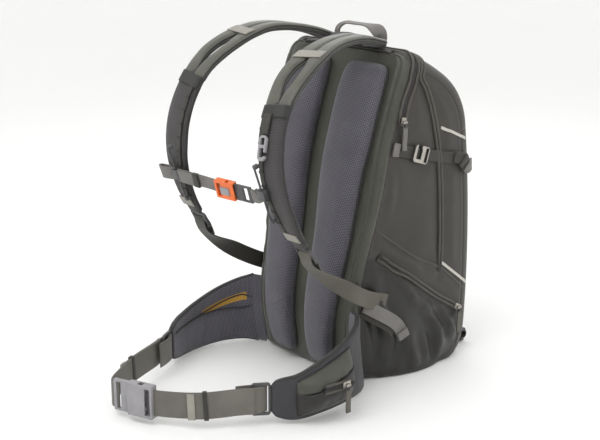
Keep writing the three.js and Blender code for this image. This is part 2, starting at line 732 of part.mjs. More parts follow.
// The belt opens about a line up the outer edge of the right wing's root, so the plug draws out square to
// the line from there to the buckle.
const BUCKLE_AT = at(0, -405, 33);
const wingHinge = onWing(wingLines.right, -1, 0, 0, BELT_THICK / 2);
const plugRun = UP.clone().cross(BUCKLE_AT.clone().sub(wingHinge).setZ(0)).normalize(); // plug to socket
const SOCKET_LENGTH = 40;
const PLUG_LENGTH = 24;
const belt = buckle({
  socket: SOCKET_LENGTH,
  plug: PLUG_LENGTH,
  width: BELT_WEB + 9,
  thick: 13,
  prong: 26,
  web: BELT_WEB,
});
const buckleMeets = BUCKLE_AT.clone().addScaledVector(plugRun, -8);
const bucklePlace = frameAt(buckleMeets, plugRun, UP);
add("belt_buckle_female", belt.socket, "pale", bucklePlace);
add("belt_buckle_male", belt.plug, "pale", bucklePlace);

for (const [name, side] of sides) {
  const line = wingLines[name];
  add(`${name}_hip_wing`, hipWing(line, side), "dark");
  add(`${name}_hip_pocket`, hipPocket(line, side), "softshell");
  const tip = framing(line, 1, UP);
  const lockAt = tip.point.clone().addScaledVector(tip.run, LOCK_LENGTH / 2 + 3 * GAP);
  const lockPlace = frameAt(lockAt, tip.run, UP);
  add(`${name}_belt_ladder_lock`, ladderLock(BELT_WEB, LOCK_LENGTH), "plastic", lockPlace);
  const over = (reach) =>
    lockAt.clone().addScaledVector(tip.run, reach).addScaledVector(tip.out, -side * OVER_LOCK);
  const fromMeeting = side > 0 ? SOCKET_LENGTH + GAP : -PLUG_LENGTH - 2 * GAP;
  const end = buckleMeets.clone().addScaledVector(plugRun, fromMeeting);
  const before = end.clone().addScaledVector(plugRun, side * 10);
  const middle = over(24).lerp(before, 0.5).add(at(side * 7, -5, -1));
  const belting = new THREE.CatmullRomCurve3([over(8), over(24), middle, before, end]);
  add(`${name}_belt_webbing`, webbing(belting, BELT_WEB, always(UP), 12), "webbing");
}

// ---- Zips, tapes and webbing that lie on the bag ---------------------------------------------------

/** A point on the bag's flat side, off its face. */
const onSide = (y, z, out) => at(HALF_WIDTH + out, y, z);
/** A point on the rounded edge between the left side and the rear or the top. */
const onEdge = (path, v, turn, out) =>
  onWrap(path, v, HALF_WIDTH - EDGE_ROUND, radians(turn), -out);

/**
 * A tape over the bag: first through points of its flat left side, then over the rounded edge along
 * path at the place v, and on across to the right side if it runs over the top.
 */
function tape({ flat, path, v, turns, width, out, thick, over = false }) {
  const stations = (height) => {
    const line = new THREE.SplineCurve(flat.map((p) => new THREE.Vector2(...p)));
    const length = path ? path.getLength() : 1;
    const made = [...Array(7).keys()].map((k) => {
      const p = line.getPointAt(k / 6);
      const run = line.getTangentAt(k / 6);
      return [-1, 1].map((edge) =>
        onSide(p.x + (edge * run.y * width) / 2, p.y - (edge * run.x * width) / 2, height),
      );
    });
    for (const turn of turns)
      made.push([-1, 1].map((edge) => onEdge(path, v - (edge * width) / 2 / length, turn, height)));
    if (!over) return made;
    const mirrored = made.map((pair) => pair.map((p) => p.clone().multiply(at(-1, 1, 1)))).reverse();
    return [...made, ...mirrored];
  };
  const [outer, inner] = [stations(out + thick), stations(out)];
  return sheet(1, outer.length - 1, (u, v2) => {
    const k = Math.round(v2 * (outer.length - 1));
    return [outer[k][Math.round(u)], inner[k][Math.round(u)]];
  });
}

const MAIN_ZIP = [[-34, REAR_TOP + 8], [-27, REAR_TOP + 40], [-14, REAR_TOP + 68]];
const FRONT_ZIP = [
  [56, 150],
  [53, 0.5 * HEIGHT],
  [46, REAR_TOP - 52],
  [32, REAR_TOP + 13],
  [14, REAR_TOP + 58],
];
const LOWER_ZIP = [[-62, 190], [-10, 156], [48, 114], [103, 80]];
const zipTape = { width: TAPE_WIDTH, out: GAP, thick: TAPE_THICK };
const overTop = { path: topPath, turns: [88, 60, 30, 0], over: true };
add("main_zip_track", tape({ ...zipTape, ...overTop, flat: MAIN_ZIP, v: 0.93 }), "tape");
add("front_zip_track", tape({ ...zipTape, ...overTop, flat: FRONT_ZIP, v: 0.85 }), "tape");
add("lower_zip_track", tape({ ...zipTape, flat: LOWER_ZIP, turns: [] }), "tape");

const SLIDER_THICK = 2.4;
const BAR_STAND = SLIDER_THICK + 2.8; // the bail's bar over the slider's foot
/** A zip slider whose body lies on the tape. turn is the track's angle; the bail's bar lies along its x. */
function zipSlider(turn) {
  const body = block(13, 9, SLIDER_THICK, 0, 0, SLIDER_THICK / 2).rotateZ(turn);
  const bar = new THREE.CylinderGeometry(0.8, 0.8, 7.4, 8).rotateZ(Math.PI / 2).translate(0, 0, BAR_STAND);
  const post = (x) => block(1.4, 3, BAR_STAND + 1.2 - 0.5, x, 0, (BAR_STAND + 1.2 + 0.5) / 2);
  return joined(body, bar, post(-3.2), post(3.2));
}
function zipPull() {
  const ring = new THREE.CylinderGeometry(2.3, 2.3, 3.6, 10).rotateZ(Math.PI / 2);
  const bore = new THREE.CylinderGeometry(1.2, 1.2, 9, 10).rotateZ(Math.PI / 2);
  const neck = block(3.6, 6, 1.6, 0, -4.6);
  const tab = block(PULL_WIDTH, PULL_LENGTH, 1.6, 0, -7 - PULL_LENGTH / 2);
  return without(joined(ring, neck, tab), bore);
}
// The hip pocket's zip lies straight over the pocket's face, rising towards the buckle.
const pocketFace = (v, up) => onWing(wingLines.left, 1, v, up, BELT_THICK / 2 + POCKET_DEPTH + CLOTH);
const pocketZipFrom = pocketFace(0.43, 0.06);
const pocketZipTo = pocketFace(0.68, 0.16);
const pocketRun = pocketZipTo.clone().sub(pocketZipFrom);
const pocketOut = UP.clone().cross(pocketRun).normalize();
const pocketMiddle = pocketZipFrom.clone().lerp(pocketZipTo, 0.5).addScaledVector(pocketOut, 3);
const pocketPlace = frameAt(pocketMiddle, pocketRun, UP);
add("hip_zip_track", block(pocketRun.length(), TAPE_WIDTH, TAPE_THICK), "tape", pocketPlace);

/** The run of a flat zip from one of its points to another, and the place 8 mm along it. */
function sliderPlace([y0, z0], [y1, z1]) {
  const run = at(0, y1 - y0, z1 - z0);
  const start = onSide(y0, z0, 2 * GAP + TAPE_THICK);
  return { point: start.addScaledVector(run, 8 / run.length()), out: LEFT, run };
}

const zips = [
  { name: "main", ...sliderPlace(MAIN_ZIP[0], MAIN_ZIP[1]) },
  { name: "lower", ...sliderPlace(LOWER_ZIP[3], LOWER_ZIP[2]) },
  {
    name: "hip",
    point: pocketMiddle
      .clone()
      .addScaledVector(pocketRun, -0.2)
      .addScaledVector(pocketOut, GAP + TAPE_THICK / 2),
    out: pocketOut,
    run: pocketRun,
  },
];
for (const { name, point, out, run } of zips) {
  const across = UP.clone().cross(out);
  const turn = Math.atan2(run.z, run.dot(across));
  add(`${name}_zip_slider`, zipSlider(turn), "metal", frameAt(point, across, UP));
  const pivot = point.clone().addScaledVector(out, BAR_STAND);
  add(`${name}_zip_pull`, zipPull(), "webbing", frameAt(pivot, across, UP));
}

// ---- Compression straps and their hooks ------------------------------------------------------------

const COMPRESSION = [[21, REAR_TOP - 41], [55, REAR_TOP - 51], [86, REAR_TOP - 61]];
const HOOK_SIZE = [30, SMALL_WEB + 5];
for (const [name, side] of sides) {
  const mirror = (geometry) => (side > 0 ? geometry : facingOut(geometry.scale(-1, 1, 1)));
  const strap = tape({
    flat: COMPRESSION,
    path: rearPath,
    v: 0.83,
    turns: [88, 60],
    width: SMALL_WEB,
    out: 2 * GAP + TAPE_THICK,
    thick: WEB_THICK,
  });
  add(`${name}_compression_strap`, mirror(strap), "webbing");
  const hook = without(
    plate(cutRectangle(...HOOK_SIZE, 3), 3),
    block(6, SMALL_WEB + 1, 9, 10),
    block(10, SMALL_WEB - 5, 9, -5),
    block(9, 5, 9, -6, SMALL_WEB / 2),
  );
  const hookAt = at(side * (HALF_WIDTH + 6), 3, REAR_TOP - 35);
  const hookPlace = frameAt(hookAt, at(0, 0.952, -0.305), at(0, 0.305, 0.952));
  add(`${name}_compression_hook`, hook, "metal", hookPlace);
}

// ---- Ski loops -------------------------------------------------------------------------------------

for (const [name, side] of sides) {
  const x = side * (HALF_WIDTH - 44);
  const loop = smooth([x, 136, 22], [x, 147, 23], [x, 160, 18], [x, 161, 9], [x, 150, 4.5], [x, 128, 4.5]);
  add(`${name}_ski_loop`, webbing(loop, SMALL_WEB, always(LEFT), 12), "dark");
}

// ---- Stabiliser webbing ----------------------------------------------------------------------------

const stabiliser = tape({
  flat: [[-80, 120], [-48, 94], [-14, 65]],
  turns: [],
  width: SMALL_WEB + 2,
  out: 2 * GAP + WEB_THICK,
  thick: WEB_THICK,
});
add("left_stabiliser_webbing", stabiliser, "webbing");

export default pack;
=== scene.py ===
"""A 20 litre ski backpack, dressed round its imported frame.

Lengths are in millimetres until a mesh is made, which is in metres. +X is the wearer's left, -Y is towards
the wearer and +Z is up.
"""

from __future__ import annotations

import logging
import math
from dataclasses import dataclass
from enum import Enum
from functools import lru_cache, partial
from typing import Sequence

import bmesh
import bpy
import numpy as np
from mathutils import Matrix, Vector
from mathutils.bvhtree import BVHTree


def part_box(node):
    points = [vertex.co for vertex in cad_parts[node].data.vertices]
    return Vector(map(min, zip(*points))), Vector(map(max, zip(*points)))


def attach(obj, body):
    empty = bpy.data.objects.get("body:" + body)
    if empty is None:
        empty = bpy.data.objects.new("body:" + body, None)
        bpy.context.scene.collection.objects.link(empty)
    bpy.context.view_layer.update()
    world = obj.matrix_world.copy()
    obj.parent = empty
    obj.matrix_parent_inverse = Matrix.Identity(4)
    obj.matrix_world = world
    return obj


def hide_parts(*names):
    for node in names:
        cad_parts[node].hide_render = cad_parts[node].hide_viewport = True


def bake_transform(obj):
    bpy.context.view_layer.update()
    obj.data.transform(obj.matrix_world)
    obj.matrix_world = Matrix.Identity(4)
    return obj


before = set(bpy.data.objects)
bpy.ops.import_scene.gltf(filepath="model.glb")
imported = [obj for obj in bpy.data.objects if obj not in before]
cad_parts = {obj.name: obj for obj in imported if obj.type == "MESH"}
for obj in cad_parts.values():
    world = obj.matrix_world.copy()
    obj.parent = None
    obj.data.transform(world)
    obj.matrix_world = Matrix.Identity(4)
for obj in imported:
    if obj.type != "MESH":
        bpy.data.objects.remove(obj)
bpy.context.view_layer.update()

log = logging.getLogger("backpack")
MM = 0.001
LEFT = np.array([1.0, 0.0, 0.0])
UP = np.array([0.0, 0.0, 1.0])
SIDES = {"left": 1, "right": -1}
LAY = "lay"  # the UV map of every cloth: millimetres across and along its threads, in metres


# ---- Finishes ---------------------------------------------------------------------------------------


def linear(code: str) -> tuple[float, float, float, float]:
    """Turns an sRGB hex code into linear colour.

    Args:
        code: six hex digits.

    Returns:
        Red, green, blue and alpha.
    """
    values = [int(code[k : k + 2], 16) / 255 for k in (0, 2, 4)]
    return (*(v / 12.92 if v <= 0.04045 else ((v + 0.055) / 1.055) ** 2.4 for v in values), 1.0)


def add_node(tree: bpy.types.NodeTree, kind: str, inputs: dict | None = None, **settings) -> bpy.types.Node:
    """Adds a node with its settings and links.

    Args:
        tree: the tree that it goes into.
        kind: the node's type.
        inputs: for a socket's name or number, a value or the output that feeds it.
        settings: the node's own properties.

    Returns:
        The node.
    """
    made = tree.nodes.new(kind)
    for key, value in settings.items():
        setattr(made, key, value)
    for key, value in (inputs or {}).items():
        if isinstance(value, bpy.types.NodeSocket):
            tree.links.new(value, made.inputs[key])
        else:
            made.inputs[key].default_value = value
    return made


class Surface(Enum):
    """What carries a finish's pattern."""

    CLOTH = "its own UV map"
    SOLID = "object coordinates"


@dataclass(frozen=True)
class Finish:
    """A cloth, plastic or metal, with the cell that its surface repeats.

    The cell is the width and height of one thread crossing, mesh hole or grain in millimetres.
    """

    name: str
    slot: str
    colour: str
    shade: str
    cell: tuple[float, float]
    relief: float
    roughness: float
    sheen: float = 0.0
    metallic: float = 0.0
    contrast: float = 0.5
    joint: float = 0.3
    mottle: float = 0.16
    coat: float = 0.0
    surface: Surface = Surface.CLOTH

    @lru_cache(maxsize=None)
    def material(self) -> bpy.types.Material:
        """Builds the finish's material once."""
        made = bpy.data.materials.new(self.name)
        made.use_nodes = True
        tree = made.node_tree
        tree.nodes.clear()
        add = partial(add_node, tree)
        if self.surface is Surface.CLOTH:
            place = add("ShaderNodeUVMap", uv_map=LAY).outputs["UV"]
        else:
            place = add("ShaderNodeTexCoord").outputs["Object"]
        whole = add("ShaderNodeTexCoord").outputs["Object"]
        in_mm = add("ShaderNodeVectorMath", {0: place, "Scale": 1 / MM}, operation="SCALE").outputs[0]
        wide, high = self.cell
        joint = {"Mortar Size": self.joint * min(self.cell), "Mortar Smooth": 1.0}
        brick = {"Vector": in_mm, "Scale": 1.0, **joint, "Brick Width": wide, "Row Height": high}
        cells = add("ShaderNodeTexBrick", brick, offset=0.5).outputs["Fac"]
        # Handling and light wear make patches about 45 mm across, which also carry painted shade standing for
        # small wrinkles; the yarn varies every millimetre or two.
        wear_and_wrinkle_shade = {"Vector": whole, "Scale": 1 / 0.045, "Detail": 4.0, "Roughness": 0.6}
        patches = add("ShaderNodeTexNoise", wear_and_wrinkle_shade).outputs["Fac"]
        yarn = add("ShaderNodeTexNoise", {"Vector": in_mm, "Scale": 0.9, "Detail": 3.0}).outputs["Fac"]
        share = add("ShaderNodeMath", {0: cells, 1: self.contrast}, operation="MULTIPLY").outputs[0]
        two = {0: share, 6: linear(self.colour), 7: linear(self.shade)}
        base = add("ShaderNodeMix", two, data_type="RGBA").outputs[2]
        mottled = {0: patches, 1: 0.3, 2: 0.7, 3: 1 - self.mottle, 4: 1 + self.mottle}
        tone = add("ShaderNodeMapRange", mottled).outputs[0]
        thread = add("ShaderNodeMapRange", {0: yarn, 3: 0.86, 4: 1.14}).outputs[0]
        both = add("ShaderNodeMath", {0: tone, 1: thread}, operation="MULTIPLY").outputs[0]
        colour = add("ShaderNodeVectorMath", {0: base, "Scale": both}, operation="SCALE").outputs[0]
        about = {0: patches, 3: self.roughness - 0.08, 4: min(1.0, self.roughness + 0.08)}
        rough = add("ShaderNodeMapRange", about).outputs[0]
        raised = {"Strength": 1.0, "Distance": self.relief * MM, "Height": cells}
        relief = add("ShaderNodeBump", raised, invert=True).outputs[0]
        spun = {"Strength": 0.6, "Distance": 0.12 * MM, "Height": yarn, "Normal": relief}
        fine = add("ShaderNodeBump", spun).outputs[0]
        look = {"Base Color": colour, "Roughness": rough, "Normal": fine, "Metallic": self.metallic}
        nap = {"Sheen Weight": self.sheen, "Sheen Roughness": 0.45}
        coat = {"Coat Weight": self.coat, "Coat Roughness": 0.35}
        shader = add("ShaderNodeBsdfPrincipled", {**look, **nap, **coat})
        add("ShaderNodeOutputMaterial", {"Surface": shader.outputs[0]})
        return made


# Pack cloth: brown-black coated nylon. Its threads are .3 mm, and drawn at 1.1 mm so that they show.
PACK_CLOTH = Finish("pack_cloth", "softshell", "37332f", "292622", (1.1, 1.1), 0.05, 0.56, sheen=0.12)
# The lower pocket's cloth: the same nylon, finer and with a waxier coat, so that its folds shine.
POCKET_CLOTH = Finish("pocket_cloth", "softshell", "1e1c1a", "161513", (1.1, 1.1), 0.04, 0.4, sheen=0.06)
# The lips that cover the zips: the same cloth, painted lighter as a painted highlight, because the raised lips
# catch more light.
LIT_LIP_CLOTH = Finish("lip_cloth_painted_highlight", "softshell", "45423b", "33302b", (1.1, 1.1), 0.05, 0.5, sheen=0.15)
# Satin: olive nylon with long floats, so it is smoother and shines along its folds.
SATIN = Finish("olive_satin", "satin", "3f4037", "34352c", (2.2, 0.9), 0.04, 0.42, sheen=0.2)
BAND_SATIN = Finish("band_satin", "satin", "55554c", "48483f", (2.2, 0.9), 0.04, 0.42, sheen=0.2)
# Spacer mesh: grey knitted hexagons over foam, rows of short dark dashes 2.6 mm apart.
SPACER = Finish("spacer_mesh", "mesh", "77757f", "2c2a30", (3.2, 2.4), 0.5, 0.85, sheen=0.3, contrast=0.95,
                joint=0.42)
# The finer dark mesh of the straps' faces.
DARK_MESH = Finish("dark_mesh", "dark", "4d4a4a", "1e1c1e", (2.2, 1.9), 0.3, 0.85, sheen=0.2, contrast=0.9,
                   joint=0.36)
FOAM_CLOTH = Finish("wing_cloth", "dark", "38363a", "262528", (1.4, 1.4), 0.08, 0.7, sheen=0.15)
BINDING = Finish("edge_binding", "dark", "2b2a29", "1c1b1b", (1.6, 0.8), 0.12, 0.65, sheen=0.15)
# Woven polyester webbing: ribs along it, drawn 1.5 mm apart, with a pick every 2 mm.
WEBBING = Finish("webbing", "webbing", "767370", "55524d", (2.0, 1.5), 0.16, 0.62, sheen=0.15)
PALE_WEBBING = Finish("pale_webbing", "webbing", "9a978e", "77746b", (2.0, 1.5), 0.16, 0.6, sheen=0.15)
OLIVE_WEBBING = Finish("olive_webbing", "webbing", "5d5a50", "47453d", (2.0, 1.5), 0.16, 0.62, sheen=0.15)
BELT_WEBBING = Finish("belt_webbing", "webbing", "6d6a63", "56534d", (2.0, 1.5), 0.16, 0.6, sheen=0.15)
DARK_WEBBING = Finish("dark_webbing", "webbing", "35332d", "232220", (2.0, 1.5), 0.16, 0.62, sheen=0.15)
# Folded lining cloth, golden, slightly shiny.
LINING = Finish("golden_lining", "lining", "c09232", "a57a24", (1.1, 1.1), 0.04, 0.45, sheen=0.2)
DIVIDER_CLOTH = Finish("divider_cloth", "lining", "b98c30", "a07722", (1.1, 1.1), 0.04, 0.5,
                       surface=Surface.SOLID)
TAPE = Finish("zip_tape", "tape", "2f2b2c", "1f1c1d", (1.0, 1.0), 0.06, 0.5)
COIL = Finish("zip_coil", "tape", "403a3c", "2a2627", (1.5, 1.5), 0.02, 0.35, surface=Surface.SOLID)
THREAD = Finish("sewing_thread", "tape", "57544c", "3c3a35", (0.8, 0.8), 0.03, 0.6, surface=Surface.SOLID)
REFLECTIVE = Finish("reflective_tape", "webbing", "c9c6bd", "aaa79f", (1.2, 1.2), 0.03, 0.38, coat=0.2,
                    mottle=0.08)
# Moulded acetal: a fine spark-eroded grain, drawn at 1.3 mm.
ACETAL = Finish("dark_acetal", "plastic", "49484a", "3e3d3f", (1.3, 1.3), 0.02, 0.42, coat=0.1,
                surface=Surface.SOLID)
PALE_ACETAL = Finish("pale_acetal", "pale", "98969a", "88868a", (1.3, 1.3), 0.02, 0.4, coat=0.1,
                     surface=Surface.SOLID)
ORANGE_ACETAL = Finish("orange_acetal", "orange", "ef7434", "dd6426", (1.3, 1.3), 0.02, 0.4, coat=0.15,
                       surface=Surface.SOLID)
# Die-cast zinc with a satin nickel plate.
CAST_METAL = Finish("cast_nickel", "metal", "b9b4ad", "a29d96", (1.0, 1.0), 0.02, 0.32, metallic=1.0,
                    surface=Surface.SOLID)
BOARD = Finish("frame_board", "board", "1e1e20", "161618", (4.0, 4.0), 0.05, 0.5, surface=Surface.SOLID)


# ---- Lines and meshes -------------------------------------------------------------------------------


def unit(vectors: np.ndarray) -> np.ndarray:
    """Vectors at length one."""
    return vectors / np.maximum(np.linalg.norm(vectors, axis=-1, keepdims=True), 1e-12)


def ease(values: np.ndarray | float) -> np.ndarray | float:
    """Smooth steps from 0 to 1."""
    held = np.clip(values, 0, 1)
    return held * held * (3 - 2 * held)


def round_corner(past: np.ndarray | float) -> np.ndarray | float:
    """How far a quarter circle has turned in, as a share of its radius, at a share of its way."""
    return 1 - np.sqrt(1 - np.clip(past, 0, 1) ** 2)


class Line:
    """A smooth line through a few points, read by its share of length."""

    def __init__(self, knots: Sequence, smooth: bool = True, dense: int = 32) -> None:
        """Joins the knots.

        Args:
            knots: points, as rows of numbers.
            smooth: whether it curves through them, or they are close together already.
            dense: points on each stretch between two knots.
        """
        points = np.array(knots, float)
        if smooth:
            points = self.curved(points, dense)
        reach = np.concatenate([[0], np.cumsum(np.linalg.norm(np.diff(points, axis=0), axis=1))])
        self.points = points
        self.length = float(reach[-1])
        self.shares = reach / reach[-1]

    @staticmethod
    def curved(knots: np.ndarray, dense: int) -> np.ndarray:
        """Runs a centripetal Catmull-Rom curve through the knots.

        Args:
            knots: the points that it passes.
            dense: points on each stretch.

        Returns:
            The points of the curve.
        """
        padded = np.vstack([2 * knots[0] - knots[1], knots, 2 * knots[-1] - knots[-2]])
        t = np.linspace(0, 1, dense, endpoint=False)[:, None]
        made = []
        for p0, p1, p2, p3 in zip(padded, padded[1:], padded[2:], padded[3:]):
            d0, d1, d2 = (max(np.linalg.norm(b - a), 1e-6) ** 0.5 for a, b in ((p0, p1), (p1, p2), (p2, p3)))
            m1 = ((p1 - p0) / d0 - (p2 - p0) / (d0 + d1) + (p2 - p1) / d1) * d1
            m2 = ((p2 - p1) / d1 - (p3 - p1) / (d1 + d2) + (p3 - p2) / d2) * d1
            made.append(
                p1 + m1 * t + (3 * (p2 - p1) - 2 * m1 - m2) * t**2 + (2 * (p1 - p2) + m1 + m2) * t**3
            )
        return np.vstack([*made, knots[-1:]])

    def at(self, share: np.ndarray | float) -> np.ndarray:
        """Points at shares of its length."""
        return np.stack(
            [np.interp(share, self.shares, self.points[:, k]) for k in range(self.points.shape[1])], -1
        )

    def run(self, share: np.ndarray | float) -> np.ndarray:
        """Directions along it at shares of its length."""
        step = 0.004
        return unit(self.at(np.minimum(np.asarray(share) + step, 1)) - self.at(np.maximum(share - step, 0)))


def bezier(start: Sequence, pull: Sequence, end: Sequence, steps: int = 40) -> np.ndarray:
    """Points of a quadratic curve, its end left out."""
    t = np.linspace(0, 1, steps, endpoint=False)[:, None]
    a, b, c = (np.array(p, float) for p in (start, pull, end))
    return a * (1 - t) ** 2 + 2 * b * t * (1 - t) + c * t**2


def framing(line: Line, share: np.ndarray, across: np.ndarray) -> tuple[np.ndarray, np.ndarray, np.ndarray]:
    """The points of a line with the directions across it and out of it.

    Args:
        line: the line.
        share: shares of its length.
        across: the wanted direction across, one or one for each share.

    Returns:
        Points, directions across square to the run, and directions out.
    """
    run = line.run(share)
    wide = np.broadcast_to(np.asarray(across, float), run.shape)
    wide = unit(wide - run * np.sum(wide * run, axis=-1, keepdims=True))
    return line.at(share), wide, np.cross(run, wide)


def oval(width: float, thick: float, count: int = 20, square: float = 4.0) -> np.ndarray:
    """A rounded section, as points across and out.

    Args:
        width: its width.
        thick: its thickness.
        count: its points.
        square: 2 for an ellipse, and more for flatter faces.

    Returns:
        The points round it.
    """
    turn = np.linspace(0, 2 * np.pi, count, endpoint=False) + np.pi / count
    c, s = np.cos(turn), np.sin(turn)
    x = np.sign(c) * np.abs(c) ** (2 / square)
    y = np.sign(s) * np.abs(s) ** (2 / square)
    return np.stack([x * width / 2, y * thick / 2], -1)


def metric(points: np.ndarray, closed: bool) -> np.ndarray:
    """Millimetres across and along a grid of points, with one more column where it closes on itself."""
    rings = np.concatenate([points, points[:, :1]], axis=1) if closed else points
    across = np.linalg.norm(np.diff(rings, axis=1), axis=2).mean(axis=0)
    along = np.linalg.norm(np.diff(rings, axis=0), axis=2).mean(axis=1)
    x = np.concatenate([[0], np.cumsum(across)])
    y = np.concatenate([[0], np.cumsum(along)])
    return np.stack(np.meshgrid(x, y), -1)


def solid_normals(mesh: bpy.types.Mesh) -> None:
    """Turns a closed mesh's faces outwards."""
    work = bmesh.new()
    work.from_mesh(mesh)
    bmesh.ops.recalc_face_normals(work, faces=work.faces)
    work.to_mesh(mesh)
    work.free()


def new_object(
    name: str,
    vertices: np.ndarray,
    faces: Iterable,
    finishes: Sequence[Finish],
    index: np.ndarray | None = None,
    corners: np.ndarray | None = None,
) -> bpy.types.Object:
    """Makes a mesh object at the origin.

    Args:
        name: the piece's name.
        vertices: points in millimetres.
        faces: the vertices of each face.
        finishes: its finishes, in the order that index counts them.
        index: each face's finish.
        corners: millimetres across and along for each corner of each face.

    Returns:
        The object.
    """
    mesh = bpy.data.meshes.new(name)
    mesh.from_pydata((np.asarray(vertices) * MM).tolist(), [], [list(f) for f in faces])
    for finish in finishes:
        mesh.materials.append(finish.material())
    if index is not None:
        mesh.polygons.foreach_set("material_index", np.asarray(index, np.int32))
    layer = mesh.uv_layers.new(name=LAY)
    if corners is not None:
        layer.data.foreach_set("uv", (np.asarray(corners, float) * MM).ravel())
    mesh.polygons.foreach_set("use_smooth", [True] * len(mesh.polygons))
    mesh.update()
    made = bpy.data.objects.new(name, mesh)
    bpy.context.scene.collection.objects.link(made)
    return made


def grid_object(
    name: str,
    points: np.ndarray,
    finishes: Sequence[Finish],
    closed: bool = False,
    index: np.ndarray | None = None,
    flip: bool = False,
    turned: bool = False,
) -> bpy.types.Object:
    """Makes a piece from rows of points: a sheet, or where it closes on itself, a solid with flat ends.

    Args:
        name: the piece's name.
        points: rows, columns and the three places, in millimetres.
        finishes: its finishes.
        closed: whether each row is a ring.
        index: each cell's finish, rows by columns.
        flip: turns a sheet's faces round.
        turned: lays the threads along the columns instead of the rows.

    Returns:
        The object.
    """
    rows, columns = points.shape[:2]
    lay = metric(points, closed)
    if turned:
        lay = lay[..., ::-1]
    i, j = np.meshgrid(np.arange(columns if closed else columns - 1), np.arange(rows - 1))
    after = (i + 1) % columns
    quads = [(j, i, i), (j, after, i + 1), (j + 1, after, i + 1), (j + 1, i, i)]
    if flip:
        quads.reverse()
    faces = np.stack([r * columns + c for r, c, _ in quads], -1).reshape(-1, 4).tolist()
    corners = np.stack([lay[r, k] for r, _, k in quads], -2).reshape(-1, 2)
    material = None if index is None else np.asarray(index).ravel()
    if closed:
        ends = [list(range(columns))[::-1], [(rows - 1) * columns + k for k in range(columns)]]
        faces += ends
        corners = np.vstack([corners, np.zeros((2 * columns, 2))])
        if material is not None:
            material = np.concatenate([material, material[:1], material[-1:]])
    made = new_object(name, points.reshape(-1, 3), faces, finishes, material, corners)
    if closed:
        solid_normals(made.data)
    return made


def finish_with(piece: bpy.types.Object, kind: str, **settings) -> bpy.types.Object:
    """Adds a modifier to a piece."""
    made = piece.modifiers.new(kind.lower(), kind)
    for key, value in settings.items():
        setattr(made, key, value)
    return piece


def smoother(piece: bpy.types.Object, levels: int = 1) -> bpy.types.Object:
    """Gives a piece a subdivision surface."""
    return finish_with(piece, "SUBSURF", levels=levels, render_levels=levels)


def lined(piece: bpy.types.Object, thick: float) -> bpy.types.Object:
    """Gives a sheet its thickness, inwards from its face."""
    return finish_with(piece, "SOLIDIFY", thickness=thick * MM, offset=-1.0)


def seat(piece: bpy.types.Object, body: str, slot: str, *nodes: str) -> bpy.types.Object:
    """Puts a piece on its body.

    Args:
        piece: the piece.
        body: the body's name.
        slot: not used.
        nodes: the CAD nodes that it stands for.

    Returns:
        The piece.
    """
    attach(piece, body)
    if nodes:
        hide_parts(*nodes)
    log.info("%s rides on %s and stands for %s", piece.name, body, ", ".join(nodes) or "nothing")
    return piece


def bend_seat(
    piece: bpy.types.Object, bodies: tuple[str, str], slot: str, reach: tuple, *nodes: str
) -> bpy.types.Object:
    """Bakes a piece that crosses a joint into its mesh where it stands and hides the CAD nodes that it stands
    for; it rides on neither body.

    Args:
        piece: the piece.
        bodies: the two bodies.
        slot: not used.
        reach: not used.
        nodes: the CAD nodes that it stands for.

    Returns:
        The piece.
    """
    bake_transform(piece)
    if nodes:
        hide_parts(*nodes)
    log.info("%s bends between %s and %s", piece.name, *bodies)
    return piece


def swept(
    line: Line, share: np.ndarray, across: np.ndarray, section: np.ndarray, shift: float | np.ndarray = 0.0
) -> np.ndarray:
    """Rings of points along a line.

    Args:
        line: the line.
        share: where the rings are.
        across: the direction of the section's width, one or one for each ring.
        section: points across and out, one set or one for each ring.
        shift: how far the rings are moved out.

    Returns:
        The rings, as rows and columns of points.
    """
    point, wide, out = framing(line, share, across)
    shape = np.broadcast_to(section, (len(share), *section.shape[-2:]))
    lift = np.broadcast_to(np.asarray(shift, float), (len(share),))
    return (
        point[:, None]
        + wide[:, None] * shape[..., :1]
        + out[:, None] * (shape[..., 1:] + lift[:, None, None])
    )


def merged(name: str, pieces: Sequence[bpy.types.Object]) -> bpy.types.Object:
    """Joins several objects into one piece.

    Args:
        name: the piece's name.
        pieces: the objects, which are used up.

    Returns:
        The piece.
    """
    work = bmesh.new()
    finishes: list[bpy.types.Material] = []
    for piece in pieces:
        first = len(work.faces)
        places = []
        for material in piece.data.materials:
            if material not in finishes:
                finishes.append(material)
            places.append(finishes.index(material))
        work.from_mesh(piece.data)
        work.faces.ensure_lookup_table()
        for face in work.faces[first:]:
            face.material_index = places[face.material_index] if places else 0
        old = piece.data
        bpy.data.objects.remove(piece)
        bpy.data.meshes.remove(old)
    mesh = bpy.data.meshes.new(name)
    work.to_mesh(mesh)
    work.free()
    for material in finishes:
        mesh.materials.append(material)
    made = bpy.data.objects.new(name, mesh)
    bpy.context.scene.collection.objects.link(made)
    return made


# ---- Node trees for what repeats --------------------------------------------------------------------


